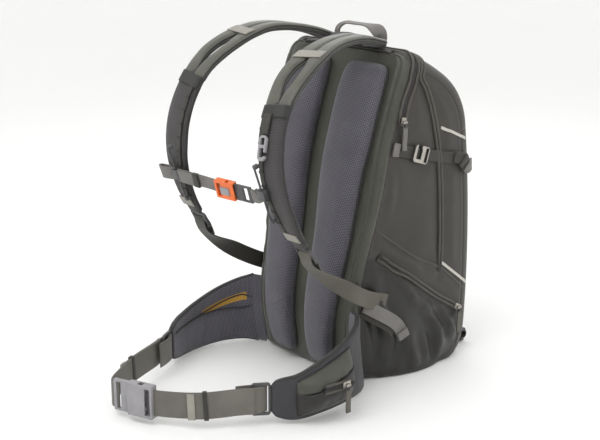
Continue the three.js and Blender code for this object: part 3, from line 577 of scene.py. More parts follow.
@dataclass(frozen=True)
class Repeat:
    """A node tree that sets a small shape at even steps along lines, turned to each line and its facing."""

    name: str
    length: float
    width: float
    height: float
    pitch: float
    finish: Finish

    @lru_cache(maxsize=None)
    def tree(self) -> tuple[bpy.types.NodeTree, dict[str, str]]:
        """Builds the tree once.

        Returns:
            The tree, and its inputs' identifiers by name.
        """
        tree = bpy.data.node_groups.new(self.name, "GeometryNodeTree")
        sockets = {}
        for label, kind in (
            ("Lines", "NodeSocketGeometry"),
            ("Pitch", "NodeSocketFloat"),
            ("Length", "NodeSocketFloat"),
            ("Width", "NodeSocketFloat"),
            ("Height", "NodeSocketFloat"),
            ("Finish", "NodeSocketMaterial"),
        ):
            sockets[label] = tree.interface.new_socket(label, in_out="INPUT", socket_type=kind).identifier
        tree.interface.new_socket("Repeated", in_out="OUTPUT", socket_type="NodeSocketGeometry")
        given = add_node(tree, "NodeGroupInput").outputs
        curve = add_node(tree, "GeometryNodeMeshToCurve", {"Mesh": given["Lines"]})
        places = add_node(
            tree,
            "GeometryNodeResampleCurve",
            {"Curve": curve.outputs[0], "Length": given["Pitch"]},
            mode="LENGTH",
        )
        facing = add_node(
            tree, "GeometryNodeInputNamedAttribute", {"Name": "facing"}, data_type="FLOAT_VECTOR"
        )
        run = add_node(tree, "GeometryNodeInputTangent")
        upright = add_node(
            tree, "FunctionNodeAlignRotationToVector", {"Vector": facing.outputs[0]}, axis="Z"
        )
        turned = add_node(
            tree,
            "FunctionNodeAlignRotationToVector",
            {"Rotation": upright.outputs[0], "Vector": run.outputs[0]},
            axis="X",
            pivot_axis="Z",
        )
        size = add_node(
            tree,
            "ShaderNodeCombineXYZ",
            {"X": given["Length"], "Y": given["Width"], "Z": given["Height"]},
        )
        shape = add_node(tree, "GeometryNodeMeshIcoSphere", {"Radius": 0.5, "Subdivisions": 1})
        sized = add_node(
            tree, "GeometryNodeTransform", {"Geometry": shape.outputs[0], "Scale": size.outputs[0]}
        )
        copies = add_node(
            tree,
            "GeometryNodeInstanceOnPoints",
            {"Points": places.outputs[0], "Instance": sized.outputs[0], "Rotation": turned.outputs[0]},
        )
        real = add_node(tree, "GeometryNodeRealizeInstances", {"Geometry": copies.outputs[0]})
        painted = add_node(
            tree, "GeometryNodeSetMaterial", {"Geometry": real.outputs[0], "Material": given["Finish"]}
        )
        add_node(tree, "NodeGroupOutput", {0: painted.outputs[0]})
        return tree, sockets

    def along(self, name: str, lines: Sequence[tuple[np.ndarray, np.ndarray]]) -> bpy.types.Object:
        """Runs the tree over lines.

        Args:
            name: the piece's name.
            lines: for each line, its points and the directions that it faces, in millimetres.

        Returns:
            A plain mesh of the repeated shapes.
        """
        points = np.vstack([p for p, _ in lines])
        facing = np.vstack([np.broadcast_to(f, p.shape) for p, f in lines])
        starts = np.concatenate([[0], np.cumsum([len(p) for p, _ in lines])])
        edges = [(k, k + 1) for a, b in zip(starts, starts[1:]) for k in range(int(a), int(b) - 1)]
        mesh = bpy.data.meshes.new(name)
        mesh.from_pydata((points * MM).tolist(), edges, [])
        attribute = mesh.attributes.new("facing", "FLOAT_VECTOR", "POINT")
        attribute.data.foreach_set("vector", facing.astype(np.float32).ravel())
        guide = bpy.data.objects.new(name + ".guide", mesh)
        bpy.context.scene.collection.objects.link(guide)
        modifier = guide.modifiers.new("repeat", "NODES")
        modifier.node_group, sockets = self.tree()
        for label, value in (
            ("Pitch", self.pitch * MM),
            ("Length", self.length * MM),
            ("Width", self.width * MM),
            ("Height", self.height * MM),
            ("Finish", self.finish.material()),
        ):
            modifier[sockets[label]] = value
        evaluated = guide.evaluated_get(bpy.context.evaluated_depsgraph_get())
        made = bpy.data.objects.new(name, bpy.data.meshes.new_from_object(evaluated))
        made.data.name = name
        bpy.data.objects.remove(guide)
        bpy.context.scene.collection.objects.link(made)
        return made


STITCH = Repeat("stitch", 2.3, 0.75, 0.6, 3.4, THREAD)
TOOTH = Repeat("zip_tooth", 0.95, 3.4, 1.1, 1.5, COIL)


class Sewing:
    """Collects the stitch lines of each body and sews them at the end."""

    def __init__(self) -> None:
        """Starts with no lines."""
        self.lines: dict[str, list[tuple[np.ndarray, np.ndarray]]] = {}

    def add(self, body: str, points: np.ndarray, facing: np.ndarray) -> None:
        """Adds a line of stitches to a body."""
        self.lines.setdefault(body, []).append((points, np.broadcast_to(facing, points.shape)))

    def box(self, body: str, ring: np.ndarray, facing: np.ndarray) -> None:
        """Adds a bar tack's closed outline and its cross."""
        closed = np.vstack([ring, ring[:1]])
        self.add(body, closed, facing)
        self.add(body, ring[[0, 2]], facing)
        self.add(body, ring[[1, 3]], facing)

    def sew(self) -> None:
        """Makes one piece of thread for each body."""
        for body, lines in self.lines.items():
            seat(STITCH.along(f"{body}_stitches", lines), body, THREAD.slot)


# ---- The bag ----------------------------------------------------------------------------------------


@dataclass(frozen=True)
class Fold:
    """A fold of slack cloth on a side, from one place to another, bowed between them."""

    start: tuple[float, float]
    end: tuple[float, float]
    bow: float
    width: float
    height: float

    def rise(self, places: np.ndarray) -> np.ndarray:
        """How far it lifts the cloth at places given by y and z."""
        a, b = np.array(self.start), np.array(self.end)
        run = unit(b - a)
        middle = (a + b) / 2 + self.bow * np.array([-run[1], run[0]])
        line = np.vstack([bezier(a, 2 * middle - (a + b) / 2, b, 18), b])
        gap = np.linalg.norm(places[..., None, :] - line, axis=-1)
        nearest = gap.argmin(axis=-1)
        taper = np.sin(np.pi * np.clip(nearest / (len(line) - 1), 0.02, 0.98)) ** 0.6
        near = gap.min(axis=-1) / self.width
        return self.height * taper * (np.exp(-(near**2)) - 0.35 * np.exp(-((near - 1.5) ** 2) / 0.5))


@dataclass
class Bag:
    """The panelled bag: a lofted shell that puffs between its seams and sags at its foot."""

    half_width: float = 128.0
    height: float = 482.0
    edge_round: float = 30.0
    back_round: float = 12.0
    base_back: float = -92.0
    back_top: float = -20.0
    base_front: float = 98.0
    rear_face: float = 134.0
    rear_lean: float = 15.0
    rear_bulge: float = 8.0
    rear_top: float = 372.0
    foot_round: float = 9.0
    cloth: float = 2.0
    puff: float = 4.2
    waist: float = 20.0
    foot_taper: float = 4.0
    floor_gap: float = 0.2
    rows: int = 150
    counts: tuple = (14, 9, 46, 10, 24)
    main_zip: tuple = ((-34, 380), (-27, 412), (-14, 440))
    front_zip: tuple = ((56, 150), (53, 241), (46, 320), (32, 385), (14, 430))
    lower_zip: tuple = ((-62, 190), (-10, 156), (48, 114), (103, 80))
    flap_seam: tuple = ((-70, 232), (12, 177), (55, 156), (110, 112))
    compression: tuple = ((-50, 352), (0, 338), (50, 323), (96, 308))
    folds: tuple = (
        Fold((-66, 176), (-28, 50), -9, 9, 7.5),
        Fold((-48, 168), (4, 112), 7, 8, 6.0),
        Fold((-76, 120), (-62, 26), 5, 8, -6.0),
        Fold((-30, 96), (-34, 14), 5, 8, -5.5),
        Fold((2, 118), (60, 22), 12, 10, 7.5),
        Fold((26, 94), (74, 48), 8, 7, -5.0),
        Fold((-8, 72), (12, 10), -5, 9, 7.0),
        Fold((34, 62), (40, 8), 4, 8, -5.5),
        Fold((62, 66), (94, 34), 6, 8, 6.0),
        Fold((-60, 210), (20, 166), -3, 6, 2.4),
        Fold((30, 158), (92, 116), 4, 6, 2.4),
        Fold((-54, 330), (-52, 246), 4, 8, 1.8),
    )

    def __post_init__(self) -> None:
        """Works out the two lines that the shell is lofted between."""
        b, h = self.base_back, self.height
        self.back_line = Line(
            [
                [0, b, 0],
                [0, b - 12, 0.19 * h],
                [0, b + 6, 0.45 * h],
                [0, b + 20, 0.66 * h],
                [0, b + 44, 0.84 * h],
                [0, self.back_top, h - 2],
            ]
        )
        top = self.rear_face - self.rear_lean
        crest = (self.rear_face - 74, h - 32)
        lean = (self.rear_bulge + self.rear_lean) / (self.rear_top - 0.45 * h)
        rear = [
            bezier((self.base_front, 0), (self.rear_face - 4, 0), (self.rear_face, 56)),
            bezier((self.rear_face, 56), (self.rear_face + self.rear_bulge, 0.45 * h), (top, self.rear_top)),
        ]
        over = [
            bezier((top, self.rear_top), (top - 60 * lean, self.rear_top + 50), crest),
            bezier(crest, (30, h - 13), (self.back_top + self.back_round, h)),
            bezier((self.back_top + self.back_round, h), (-12, h + 0.8), (-17, h + 0.6)),
        ]
        flat = np.vstack(rear + over)
        self.wrap_line = Line(np.column_stack([np.zeros(len(flat)), flat]), smooth=False)
        self.seam_share = Line(np.vstack(rear), smooth=False).length / self.wrap_line.length
        self.shares = np.linspace(0, 1, self.rows)
        self.points = self.shell()

    def on_back(self, share: np.ndarray, x: np.ndarray, out: np.ndarray | float) -> np.ndarray:
        """Points over the back's face: along the back line, sideways, and towards the wearer."""
        share, x, out = np.broadcast_arrays(share, np.asarray(x, float), np.asarray(out, float))
        run, made = self.back_line.run(share), self.back_line.at(share)
        return np.stack([x, made[..., 1] - run[..., 2] * out, made[..., 2] + run[..., 1] * out], -1)

    def section(self, share: float) -> np.ndarray:
        """Half of a ring of the shell, from the middle of the back to the middle of the rear.

        Args:
            share: how far up the back it lies, as a share.

        Returns:
            Points in the pack's frame, on the wearer's left.
        """
        back, wrap = self.back_line.at(0.004 + 0.994 * share), self.wrap_line.at(share)
        toward = unit(wrap - back)
        foot = self.foot_round * round_corner(1 - share * self.back_line.length / self.foot_round)
        crown = self.edge_round * round_corner(1 - (1 - share) * self.back_line.length / self.edge_round)
        back = back + toward * foot
        depth = float(np.linalg.norm(wrap - back))
        wide = self.half_width - foot - crown
        fit = min(1.0, 0.98 * depth / (self.back_round + self.edge_round))
        near, far = self.back_round * fit, self.edge_round * fit
        n_back, n_gusset, n_side, n_edge, n_rear = self.counts
        up = float(back[2])
        narrow = self.waist * ease((310 - up) / 150) + self.foot_taper * ease((64 - up) / 64)
        a = np.linspace(0, np.pi / 2, n_gusset + 1)[1:]
        e = np.linspace(0, np.pi / 2, n_edge + 1)[1:]
        x = np.concatenate(
            [
                np.linspace(0, wide - near, n_back + 1),
                wide - near + near * np.sin(a),
                np.full(n_side, wide),
                wide - far + far * np.cos(e),
                np.linspace(wide - far, 0, n_rear + 1)[1:],
            ]
        )
        y = np.concatenate(
            [
                np.zeros(n_back + 1),
                near - near * np.cos(a),
                np.linspace(near, depth - far, n_side + 1)[1:],
                depth - far + far * np.sin(e),
                np.full(n_rear, depth),
            ]
        )
        x = x * (1 - narrow / self.half_width * (1 - ease(y / 110)))
        return back + toward * y[:, None] + LEFT * x[:, None]

    def puffed(self, points: np.ndarray) -> np.ndarray:
        """How far the filled cloth stands off its flat shape.

        Args:
            points: the flat shell.

        Returns:
            A distance out for each point.
        """
        n_back, n_gusset, n_side, n_edge, n_rear = self.counts
        edge = n_back + n_gusset
        seam = edge + n_side
        lift = np.zeros(points.shape[:2])
        side = points[:, edge : seam + 1, 1:]
        held = [self.main_zip, self.front_zip, self.lower_zip, self.compression, self.flap_seam]
        borders = [side[:, 0], side[:, -1]]
        lines = [Line(np.array(k, float)).at(np.linspace(0, 1, 24)) for k in held] + borders
        gap = np.min([np.linalg.norm(side[..., None, :] - line, axis=-1).min(axis=-1) for line in lines], 0)
        full = 1 - np.exp(-((gap / 22) ** 2))
        low = ease((self.lower_zip[1][1] - 10 - side[..., 1]) / 60)
        lift[:, edge : seam + 1] = self.puff * full * (1 + 0.5 * low)
        foot = ease(side[..., 1] / 14)
        for fold in self.folds:
            lift[:, edge : seam + 1] += fold.rise(side) * foot * (1 - np.exp(-((gap / 7) ** 2)))
        # The gusset is a soft roll with small puckers where it is sewn to the side.
        turn = np.linspace(0, 1, n_gusset + 1)
        up = self.shares[:, None] * self.back_line.length
        lift[:, n_back : edge + 1] += np.sin(np.pi * turn) * 1.2
        pucker = 0.7 * np.sin(up / 7.0 + 3 * np.sin(up / 31)) * np.sin(up / 19)
        lift[:, n_back : edge + 1] += pucker * np.sin(np.pi * turn) ** 2 * (turn > 0.3)
        # The rear and the top puff between their edges, with slack folds across the front pocket.
        width = np.linspace(0, 1, n_rear + 1)
        height = self.wrap_line.length * self.shares[:, None]
        seam_gap = np.abs(height - self.seam_share * self.wrap_line.length)
        rear = 4.0 * ease(width * 1.4) * (1 - np.exp(-((seam_gap / 40) ** 2))) * ease(height / 60)
        waves = np.sin(height / 17 + 2.2 * width * 3) * np.sin(height / 41 + width * 5)
        below_top = ease((1 - self.shares[:, None]) * 9)
        lift[:, seam + n_edge :] += (rear + 1.3 * waves * ease(width * 2)) * below_top
        return lift

    def shell(self) -> np.ndarray:
        """The whole puffed shell, left half, as rows and columns of points."""
        flat = np.stack([self.section(s) for s in self.shares])
        up = np.gradient(flat, axis=0)
        round_ = np.gradient(flat, axis=1)
        out = unit(np.cross(round_, up))
        out[:, 0], out[:, -1] = out[:, 1], out[:, -2]
        made = flat + out * self.puffed(flat)[..., None]
        made[..., 2] = np.maximum(made[..., 2], self.floor_gap)
        return made

    def skin(self) -> "Skin":
        """The shell's outside, for what lies on it."""
        whole = np.concatenate([self.points * [-1, 1, 1], self.points[:, ::-1]], axis=1)
        return Skin(whole)

    def panel(
        self, name: str, first: int, last: int, finish: Finish, nodes: Sequence[str], side: int = 0,
        rows: slice = slice(None),
    ) -> bpy.types.Object:
        """Makes one panel of the shell.

        Args:
            name: the panel's name.
            first: its first column.
            last: its last column.
            finish: its cloth.
            nodes: the CAD nodes that it stands for.
            side: 1 for left, -1 for right, and 0 for one that crosses the middle.
            rows: its rows of the shell.

        Returns:
            The panel.
        """
        part = self.points[rows, first : last + 1]
        if side == 0:
            mirror = part * [-1, 1, 1]
            if first == 0:
                part = np.concatenate([mirror[:, :0:-1], part], axis=1)
            else:
                part = np.concatenate([part, mirror[:, -2::-1]], axis=1)
        elif side < 0:
            part = (part * [-1, 1, 1])[:, ::-1]
        low = None
        if name.endswith("side_cloth"):
            zip_line = Line(np.array(self.lower_zip, float)).at(np.linspace(0, 1, 40))
            middle = part[:-1, :-1, 1:]
            low = (middle[..., 1] < np.interp(middle[..., 0], zip_line[:, 0], zip_line[:, 1])).astype(int)
        made = grid_object(name, part, [finish, POCKET_CLOTH], index=low)
        lined(made, self.cloth)
        return seat(made, "bag", finish.slot, *nodes)

    def build(self) -> None:
        """Makes every panel."""
        n_back, n_gusset, n_side, n_edge, n_rear = self.counts
        edge = n_back + n_gusset
        seam = edge + n_side
        last = seam + n_edge + n_rear
        turn = int(round(self.seam_share * (self.rows - 1)))
        self.panel("back_cloth", 0, n_back, SATIN, ["back_panel"])
        self.panel("rear_cloth", seam, last, PACK_CLOTH, ["front_panel"], rows=slice(0, turn + 1))
        self.panel("top_cloth", seam, last, PACK_CLOTH, ["top_panel"], rows=slice(turn, None))
        for name, side in SIDES.items():
            self.panel(f"{name}_gusset_cloth", n_back, edge, SATIN, [f"{name}_back_gusset"], side)
            self.panel(f"{name}_side_cloth", edge, seam, PACK_CLOTH, [f"{name}_side_panel"], side)
        self.base()
        self.yoke()

    def base(self) -> None:
        """Makes the base from the shell's lowest ring."""
        ring = np.concatenate([self.points[0], (self.points[0] * [-1, 1, 1])[-2:0:-1]])
        middle = ring.mean(axis=0) * [0, 1, 0]
        shares = np.array([1, 0.94, 0.8, 0.6, 0.4, 0.2, 0.04])
        rings = middle + (ring - middle) * shares[:, None, None]
        rings[..., 2] = 0.2 + 0.8 * (shares[:, None] < 0.9)
        back = rings + UP * self.cloth
        made = grid_object("base_cloth", np.concatenate([back[::-1], rings]), [PACK_CLOTH], closed=True)
        seat(made, "bag", PACK_CLOTH.slot, "base_panel")

    def yoke(self) -> None:
        """Makes the piece sewn over the top edge, from which the straps and the handle come."""
        wide = self.half_width - self.edge_round - 6
        x = np.linspace(-1, 1, 60)
        turn = np.linspace(0, 1, 12)
        rows = []
        for t in turn:
            y = self.back_top - 3 + 30 * t
            z = self.height + 1.6 - 1.6 * (2 * t - 1) ** 4 - 2.5 * np.abs(x) ** 6
            rows.append(np.stack([x * (wide + 4 * t), np.full_like(x, y), z * np.ones_like(x)], -1))
        made = lined(grid_object("yoke_cloth", np.array(rows), [PACK_CLOTH], flip=False), self.cloth)
        seat(made, "bag", PACK_CLOTH.slot, "yoke_panel")


class Skin:
    """A surface that other pieces are laid on."""

    def __init__(self, points: np.ndarray) -> None:
        """Builds it from rows of points."""
        rows, columns = points.shape[:2]
        i, j = np.meshgrid(np.arange(columns - 1), np.arange(rows - 1))
        faces = np.stack(
            [j * columns + i, j * columns + i + 1, (j + 1) * columns + i + 1, (j + 1) * columns + i], -1
        )
        self.tree = BVHTree.FromPolygons(points.reshape(-1, 3).tolist(), faces.reshape(-1, 4).tolist())

    def on(self, places: np.ndarray, out: float | np.ndarray = 0.0) -> tuple[np.ndarray, np.ndarray]:
        """Lays places on the surface.

        Args:
            places: points near it, one row each.
            out: how far off it they go.

        Returns:
            The laid points, and the directions out of the surface.
        """
        found = [self.tree.find_nearest(Vector(p)) for p in places.reshape(-1, 3)]
        point = np.array([f[0] for f in found])
        normal = np.array([f[1] for f in found])
        middle = np.array([0.0, 20.0, 200.0])
        normal *= np.sign(np.sum(normal * (point - middle), axis=1, keepdims=True))
        lift = np.broadcast_to(np.asarray(out, float).ravel(), (len(point),))[:, None]
        return (point + normal * lift).reshape(places.shape), normal.reshape(places.shape)


# ---- Ribbons, beads and padded cloth ----------------------------------------------------------------


def strap_section(width: float, thick: float) -> np.ndarray:
    """The flat section of webbing, with rounded edges."""
    return oval(width, thick, 16, 9.0)


def solid(name: str, rings: np.ndarray, finish: Finish) -> bpy.types.Object:
    """Makes a closed piece of one finish from rings along its run."""
    return grid_object(name, rings, [finish], closed=True, turned=True)


def ribbon(
    name: str, points: np.ndarray, facing: np.ndarray, width: float | np.ndarray, finish: Finish,
    thick: float = 2.0,
) -> bpy.types.Object:
    """Makes a flat strip of webbing along points.

    Args:
        name: the piece's name.
        points: its middle line, in millimetres.
        facing: the direction of its face, one or one for each point.
        width: its width, one or one for each point.
        finish: its finish.
        thick: its thickness.

    Returns:
        The strip, a closed solid with rounded edges.
    """
    run = unit(np.gradient(points, axis=0))
    wide = unit(np.cross(run, np.broadcast_to(facing, points.shape)))
    out = np.cross(wide, run)
    shape = strap_section(1.0, thick)
    across = shape[:, 0] * np.broadcast_to(np.asarray(width, float), (len(points),))[:, None]
    rings = points[:, None] + wide[:, None] * across[..., None] + out[:, None] * shape[:, 1:]
    return solid(name, rings, finish)


def bead(
    name: str, points: np.ndarray, facing: np.ndarray, width: float, height: float, finish: Finish,
    tapered: bool = True,
) -> bpy.types.Object:
    """Makes a round or oval strip along points, such as a bound edge or a zip's lip.

    Args:
        name: the piece's name.
        points: its middle line, in millimetres.
        facing: the direction of its height, one or one for each point.
        width: its width.
        height: its height.
        finish: its finish.
        tapered: whether its ends close down.

    Returns:
        The strip.
    """
    run = unit(np.gradient(points, axis=0))
    wide = unit(np.cross(run, np.broadcast_to(facing, points.shape)))
    out = np.cross(wide, run)
    share = np.linspace(0, 1, len(points))
    size = np.clip(np.minimum(share, 1 - share) * 30, 0.25, 1) if tapered else np.ones(len(points))
    shape = oval(width, height, 10, 2.3) * size[:, None, None]
    rings = points[:, None] + wide[:, None] * shape[..., :1] + out[:, None] * shape[..., 1:]
    return solid(name, rings, finish)


def strip_on(
    skin: "Skin", points: np.ndarray, width: float | np.ndarray, out: float, thick: float, shift: float = 0.0
) -> tuple[np.ndarray, np.ndarray]:
    """Lays a strip on a surface.

    Args:
        skin: the surface.
        points: the strip's middle line, near the surface.
        width: its width, one or one for each point.
        out: how far off the surface its under side lies.
        thick: its thickness.
        shift: how far it is moved across its run.

    Returns:
        Its rings, and the directions out of the surface at its middle.
    """
    middle, normal = skin.on(points)
    run = unit(np.gradient(middle, axis=0))
    wide = unit(np.cross(run, normal))
    share = np.array([-0.5, -0.47, -0.25, 0, 0.25, 0.47, 0.5])
    size = np.broadcast_to(np.asarray(width, float), (len(points),))
    flat = middle[:, None] + wide[:, None] * (size[:, None] * share + shift)[..., None]
    drop = np.array([0.45, 0, 0, 0, 0, 0, 0.45]) * thick
    lift = np.broadcast_to(out + thick - drop, flat.shape[:2])
    top, _ = skin.on(flat, lift)
    under, _ = skin.on(flat, np.broadcast_to(out + drop, flat.shape[:2]))
    return np.concatenate([top, under[:, ::-1]], axis=1), normal


def filled(
    piece: bpy.types.Object, pinned: np.ndarray, pressure: float, most: float, frames: int = 14
) -> bpy.types.Object:
    """Fills a closed cloth piece by cloth simulation, and leaves the result in its mesh.

    Args:
        piece: the piece, slightly smaller than it will be.
        pinned: how firmly each point is held, from 0 to 1.
        pressure: the pressure inside it.
        most: how far a point may move, in millimetres.
        frames: the length of the simulation.

    Returns:
        The piece, with one level of subdivision.
    """
    scene = bpy.context.scene
    held = piece.vertex_groups.new(name="held")
    for k in np.flatnonzero(pinned > 0):
        held.add([int(k)], float(pinned[k]), "REPLACE")
    cloth = piece.modifiers.new("cloth", "CLOTH")
    cloth.settings.use_pressure = True
    cloth.settings.uniform_pressure_force = pressure
    cloth.settings.vertex_group_mass = held.name
    cloth.settings.tension_stiffness = cloth.settings.compression_stiffness = 15
    cloth.settings.bending_stiffness = 2
    cloth.settings.quality = 5
    cloth.settings.effector_weights.gravity = 0
    cloth.collision_settings.use_collision = False
    cloth.point_cache.frame_end = frames
    start = np.array([v.co for v in piece.data.vertices])
    for step in range(1, frames + 1):
        scene.frame_set(step)
    evaluated = piece.evaluated_get(bpy.context.evaluated_depsgraph_get())
    end = np.array([v.co for v in evaluated.data.vertices])
    moved = end - start
    length = np.linalg.norm(moved, axis=1, keepdims=True)
    moved *= np.minimum(1, most * MM / np.maximum(length, 1e-9)) * (1 - pinned[:, None])
    piece.modifiers.remove(cloth)
    piece.vertex_groups.clear()
    piece.data.vertices.foreach_set("co", (start + moved).ravel())
    piece.data.update()
    scene.frame_set(1)
    return smoother(piece)


def refined(node: str, finish: Finish, bevel: float, body: str, slot: str | None = None) -> bpy.types.Object:
    """Makes a moulded piece from its CAD solid, with its edges rounded as a mould leaves them.

    Args:
        node: the CAD node.
        finish: its finish.
        bevel: the radius of its edges, in millimetres.
        body: the body that it rides on.
        slot: its material slot, where it isn't the finish's own.

    Returns:
        The piece.
    """
    work = bmesh.new()
    work.from_mesh(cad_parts[node].data)
    bmesh.ops.remove_doubles(work, verts=work.verts, dist=0.02 * MM)
    bmesh.ops.dissolve_limit(work, angle_limit=math.radians(2), verts=work.verts, edges=work.edges)
    bmesh.ops.recalc_face_normals(work, faces=work.faces)
    mesh = bpy.data.meshes.new(f"{node}_moulded")
    work.to_mesh(mesh)
    work.free()
    mesh.materials.clear()
    mesh.materials.append(finish.material())
    mesh.polygons.foreach_set("material_index", [0] * len(mesh.polygons))
    mesh.polygons.foreach_set("use_smooth", [True] * len(mesh.polygons))
    made = bpy.data.objects.new(mesh.name, mesh)
    bpy.context.scene.collection.objects.link(made)
    finish_with(
        made, "BEVEL", width=bevel * MM, segments=2, limit_method="ANGLE", angle_limit=math.radians(28),
        harden_normals=True,
    )
    return seat(made, body, slot or finish.slot, node)


def middle_of(node: str) -> np.ndarray:
    """The middle of a CAD node's box, in millimetres."""
    low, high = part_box(node)
    return np.array((low + high) / 2) / MM


# ---- Back pads --------------------------------------------------------------------------------------


@dataclass
class BackPads:
    """Two spacer mesh pads on the back, wide at the shoulders, with dark beads along their base edges that are
    partly piping and partly painted shade, and the small yoke pad.
    """

    bag: Bag
    channel: float = 38.0
    foot_width: float = 46.0
    top_width: float = 82.0
    thick: float = 19.0
    # Size of the dark bead along each pad's base edge: partly piping, partly painted shade where the pad meets
    # the back.
    binding: float = 3.0

    def pad(self, side: int) -> tuple[np.ndarray, np.ndarray]:
        """Lays out one pad.

        Args:
            side: 1 for left, -1 for right.

        Returns:
            Its rings, and whether each point lies on the back.
        """
        rows = np.linspace(0.035, 0.962, 84)
        share = (rows - rows[0]) / (rows[-1] - rows[0])
        width = self.foot_width + (self.top_width - self.foot_width) * np.minimum(1, 1.35 * share)
        ends = np.sqrt(np.maximum(0, 1 - np.abs(2 * share - 1) ** 16))
        turn = np.linspace(0, np.pi, 23)
        face_x = -np.sign(np.cos(turn)) * np.abs(np.cos(turn)) ** 0.55
        face_h = np.abs(np.sin(turn)) ** 0.42
        under = np.linspace(0.86, -0.86, 9)
        across = np.concatenate([face_x, under])
        height = np.concatenate([face_h, np.zeros(len(under))])
        middle = self.channel / 2 + width / 2
        half = width / 2 * (0.74 + 0.26 * ends)
        x = middle[:, None] + half[:, None] * across
        rise = 1.2 + self.thick * height * (0.3 + 0.7 * ends)[:, None]
        rings = self.bag.on_back(rows[:, None] + 0 * x, side * x, rise)
        return rings, np.broadcast_to(height < 0.2, rings.shape[:2])

    def build(self) -> None:
        """Makes both pads with the dark beads along their base edges, partly piping and partly painted shade,
        and the yoke's pad.
        """
        for name, side in SIDES.items():
            rings, held = self.pad(side)
            pad = grid_object(f"{name}_pad_mesh", rings, [SPACER], closed=True)
            filled(pad, held.ravel().astype(float), 3.0, 4.0)
            seat(pad, "bag", SPACER.slot, f"{name}_back_pad")
            # Dark beads along both base edges of each pad: partly piping, partly painted shade where the pad
            # meets the back.
            edges = []
            for column in (0, 22):
                edge = self.bag.on_back(
                    np.linspace(0.035, 0.962, 84), self.edge_x(side, column), np.full(84, 2.2)
                )
                edges.append(bead("edge", edge, LEFT * side, self.binding, self.binding, BINDING))
            seat(merged(f"{name}_pad_piping_and_painted_shade", edges), "bag", BINDING.slot)
        x = np.linspace(-1, 1, 21)
        line = np.stack([x * 33, np.full_like(x, -20), 488.5 + 4.5 * np.cos(x * 1.4)], -1)
        roll = bead("yoke_roll", line, UP, 21.0, 15.0, DARK_MESH)
        smoother(seat(roll, "bag", DARK_MESH.slot, "yoke_pad"))

    def edge_x(self, side: int, column: int) -> np.ndarray:
        """How far out one edge of a pad lies, all along it."""
        share = np.linspace(0, 1, 84)
        width = self.foot_width + (self.top_width - self.foot_width) * np.minimum(1, 1.35 * share)
        ends = np.sqrt(np.maximum(0, 1 - np.abs(2 * share - 1) ** 16))
        half = width / 2 * (0.74 + 0.26 * ends) + 0.6
        return side * (self.channel / 2 + width / 2 + (half if column else -half))


# ---- Zips -------------------------------------------------------------------------------------------


class Lips(Enum):
    """How a zip is covered."""

    OPEN = "a coil in plain sight, with a narrow edge each side"
    DOUBLE = "two rounded lips that meet over the coil"


@dataclass
class Zip:
    """A zip sewn into the bag: tape, coil, lips and lines of stitches."""

    name: str
    knots: Sequence
    lips: Lips
    skin: Skin
    lip_width: float = 4.6

    def build(self, sewing: Sewing) -> None:
        """Makes its parts.

        Args:
            sewing: takes its stitches.
        """
        line = Line(self.knots)
        points = line.at(np.linspace(0, 1, max(24, int(line.length / 3))))
        tape, normal = strip_on(self.skin, points, 11.0, 0.3, 0.9)
        seat(grid_object(f"{self.name}_tape", tape, [TAPE], closed=True), "bag", TAPE.slot, self.name)
        middle, normal = self.skin.on(points, 1.5)
        seat(TOOTH.along(f"{self.name}_coil", [(middle, normal)]), "bag", COIL.slot)
        run = unit(np.gradient(middle, axis=0))
        wide = unit(np.cross(run, normal))
        apart = 3.4 if self.lips is Lips.OPEN else 0.0
        for edge, label in ((-1, "back"), (1, "front")):
            shift = edge * (apart + self.lip_width / 2 + 0.5)
            along, face = self.skin.on(points + wide * shift, 1.5)
            height = 3.2 if self.lips is Lips.OPEN else 4.6
            lip = bead(f"{self.name}_{label}_lip", along, face, self.lip_width, height, LIT_LIP_CLOTH)
            seat(smoother(lip), "bag", LIT_LIP_CLOTH.slot)
            outer, face = self.skin.on(points + wide * edge * (apart + self.lip_width + 2.2), 0.3)
            sewing.add("bag", outer, face)


@dataclass
class ZipPull:
    """A slider's webbing pull, which hangs from a small ring."""

    name: str
    body: str
    finish: Finish
    width: float = 8.0
    length: float = 40.0

    def build(self) -> None:
        """Makes the pull from its CAD solid's own pivot."""
        low, high = (np.array(corner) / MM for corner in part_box(self.name))
        top = np.array([(low[0] + high[0]) / 2, (low[1] + high[1]) / 2, high[2] - 2.3])
        down = np.linspace(0, 1, 22)
        drop = 6.5 + (self.length - 6.5) * down
        thick = 1.0 + 0.5 * np.sin(np.pi * down)
        points = np.stack([top[0] + 0.35 * np.sin(2 * np.pi * down), top[1] + 0 * drop, top[2] - drop], -1)
        tab = ribbon("tab", points, LEFT, self.width * (0.86 + 0.14 * ease(down * 8)), self.finish, 2.4)
        turn = np.linspace(0, 2 * np.pi, 17)
        ring = top + np.stack([0 * turn, 1.9 * np.sin(turn), 1.7 * np.cos(turn) - 0.4], -1)
        neck = np.array([top + [0, 0, -2.0], top + [0, 0, -8.0]])
        parts = [
            tab,
            bead("ring", ring, LEFT, 1.5, 1.5, CAST_METAL, tapered=False),
            ribbon("neck", Line(neck).at(np.linspace(0, 1, 6)), LEFT, 4.2, DARK_WEBBING, 2.8),
        ]
        made = merged(f"{self.name}_webbing", parts)
        seat(made, self.body, WEBBING.slot, self.name)
        log.info("pull %s is %.1f mm thick", self.name, 2 * float(thick.max()))


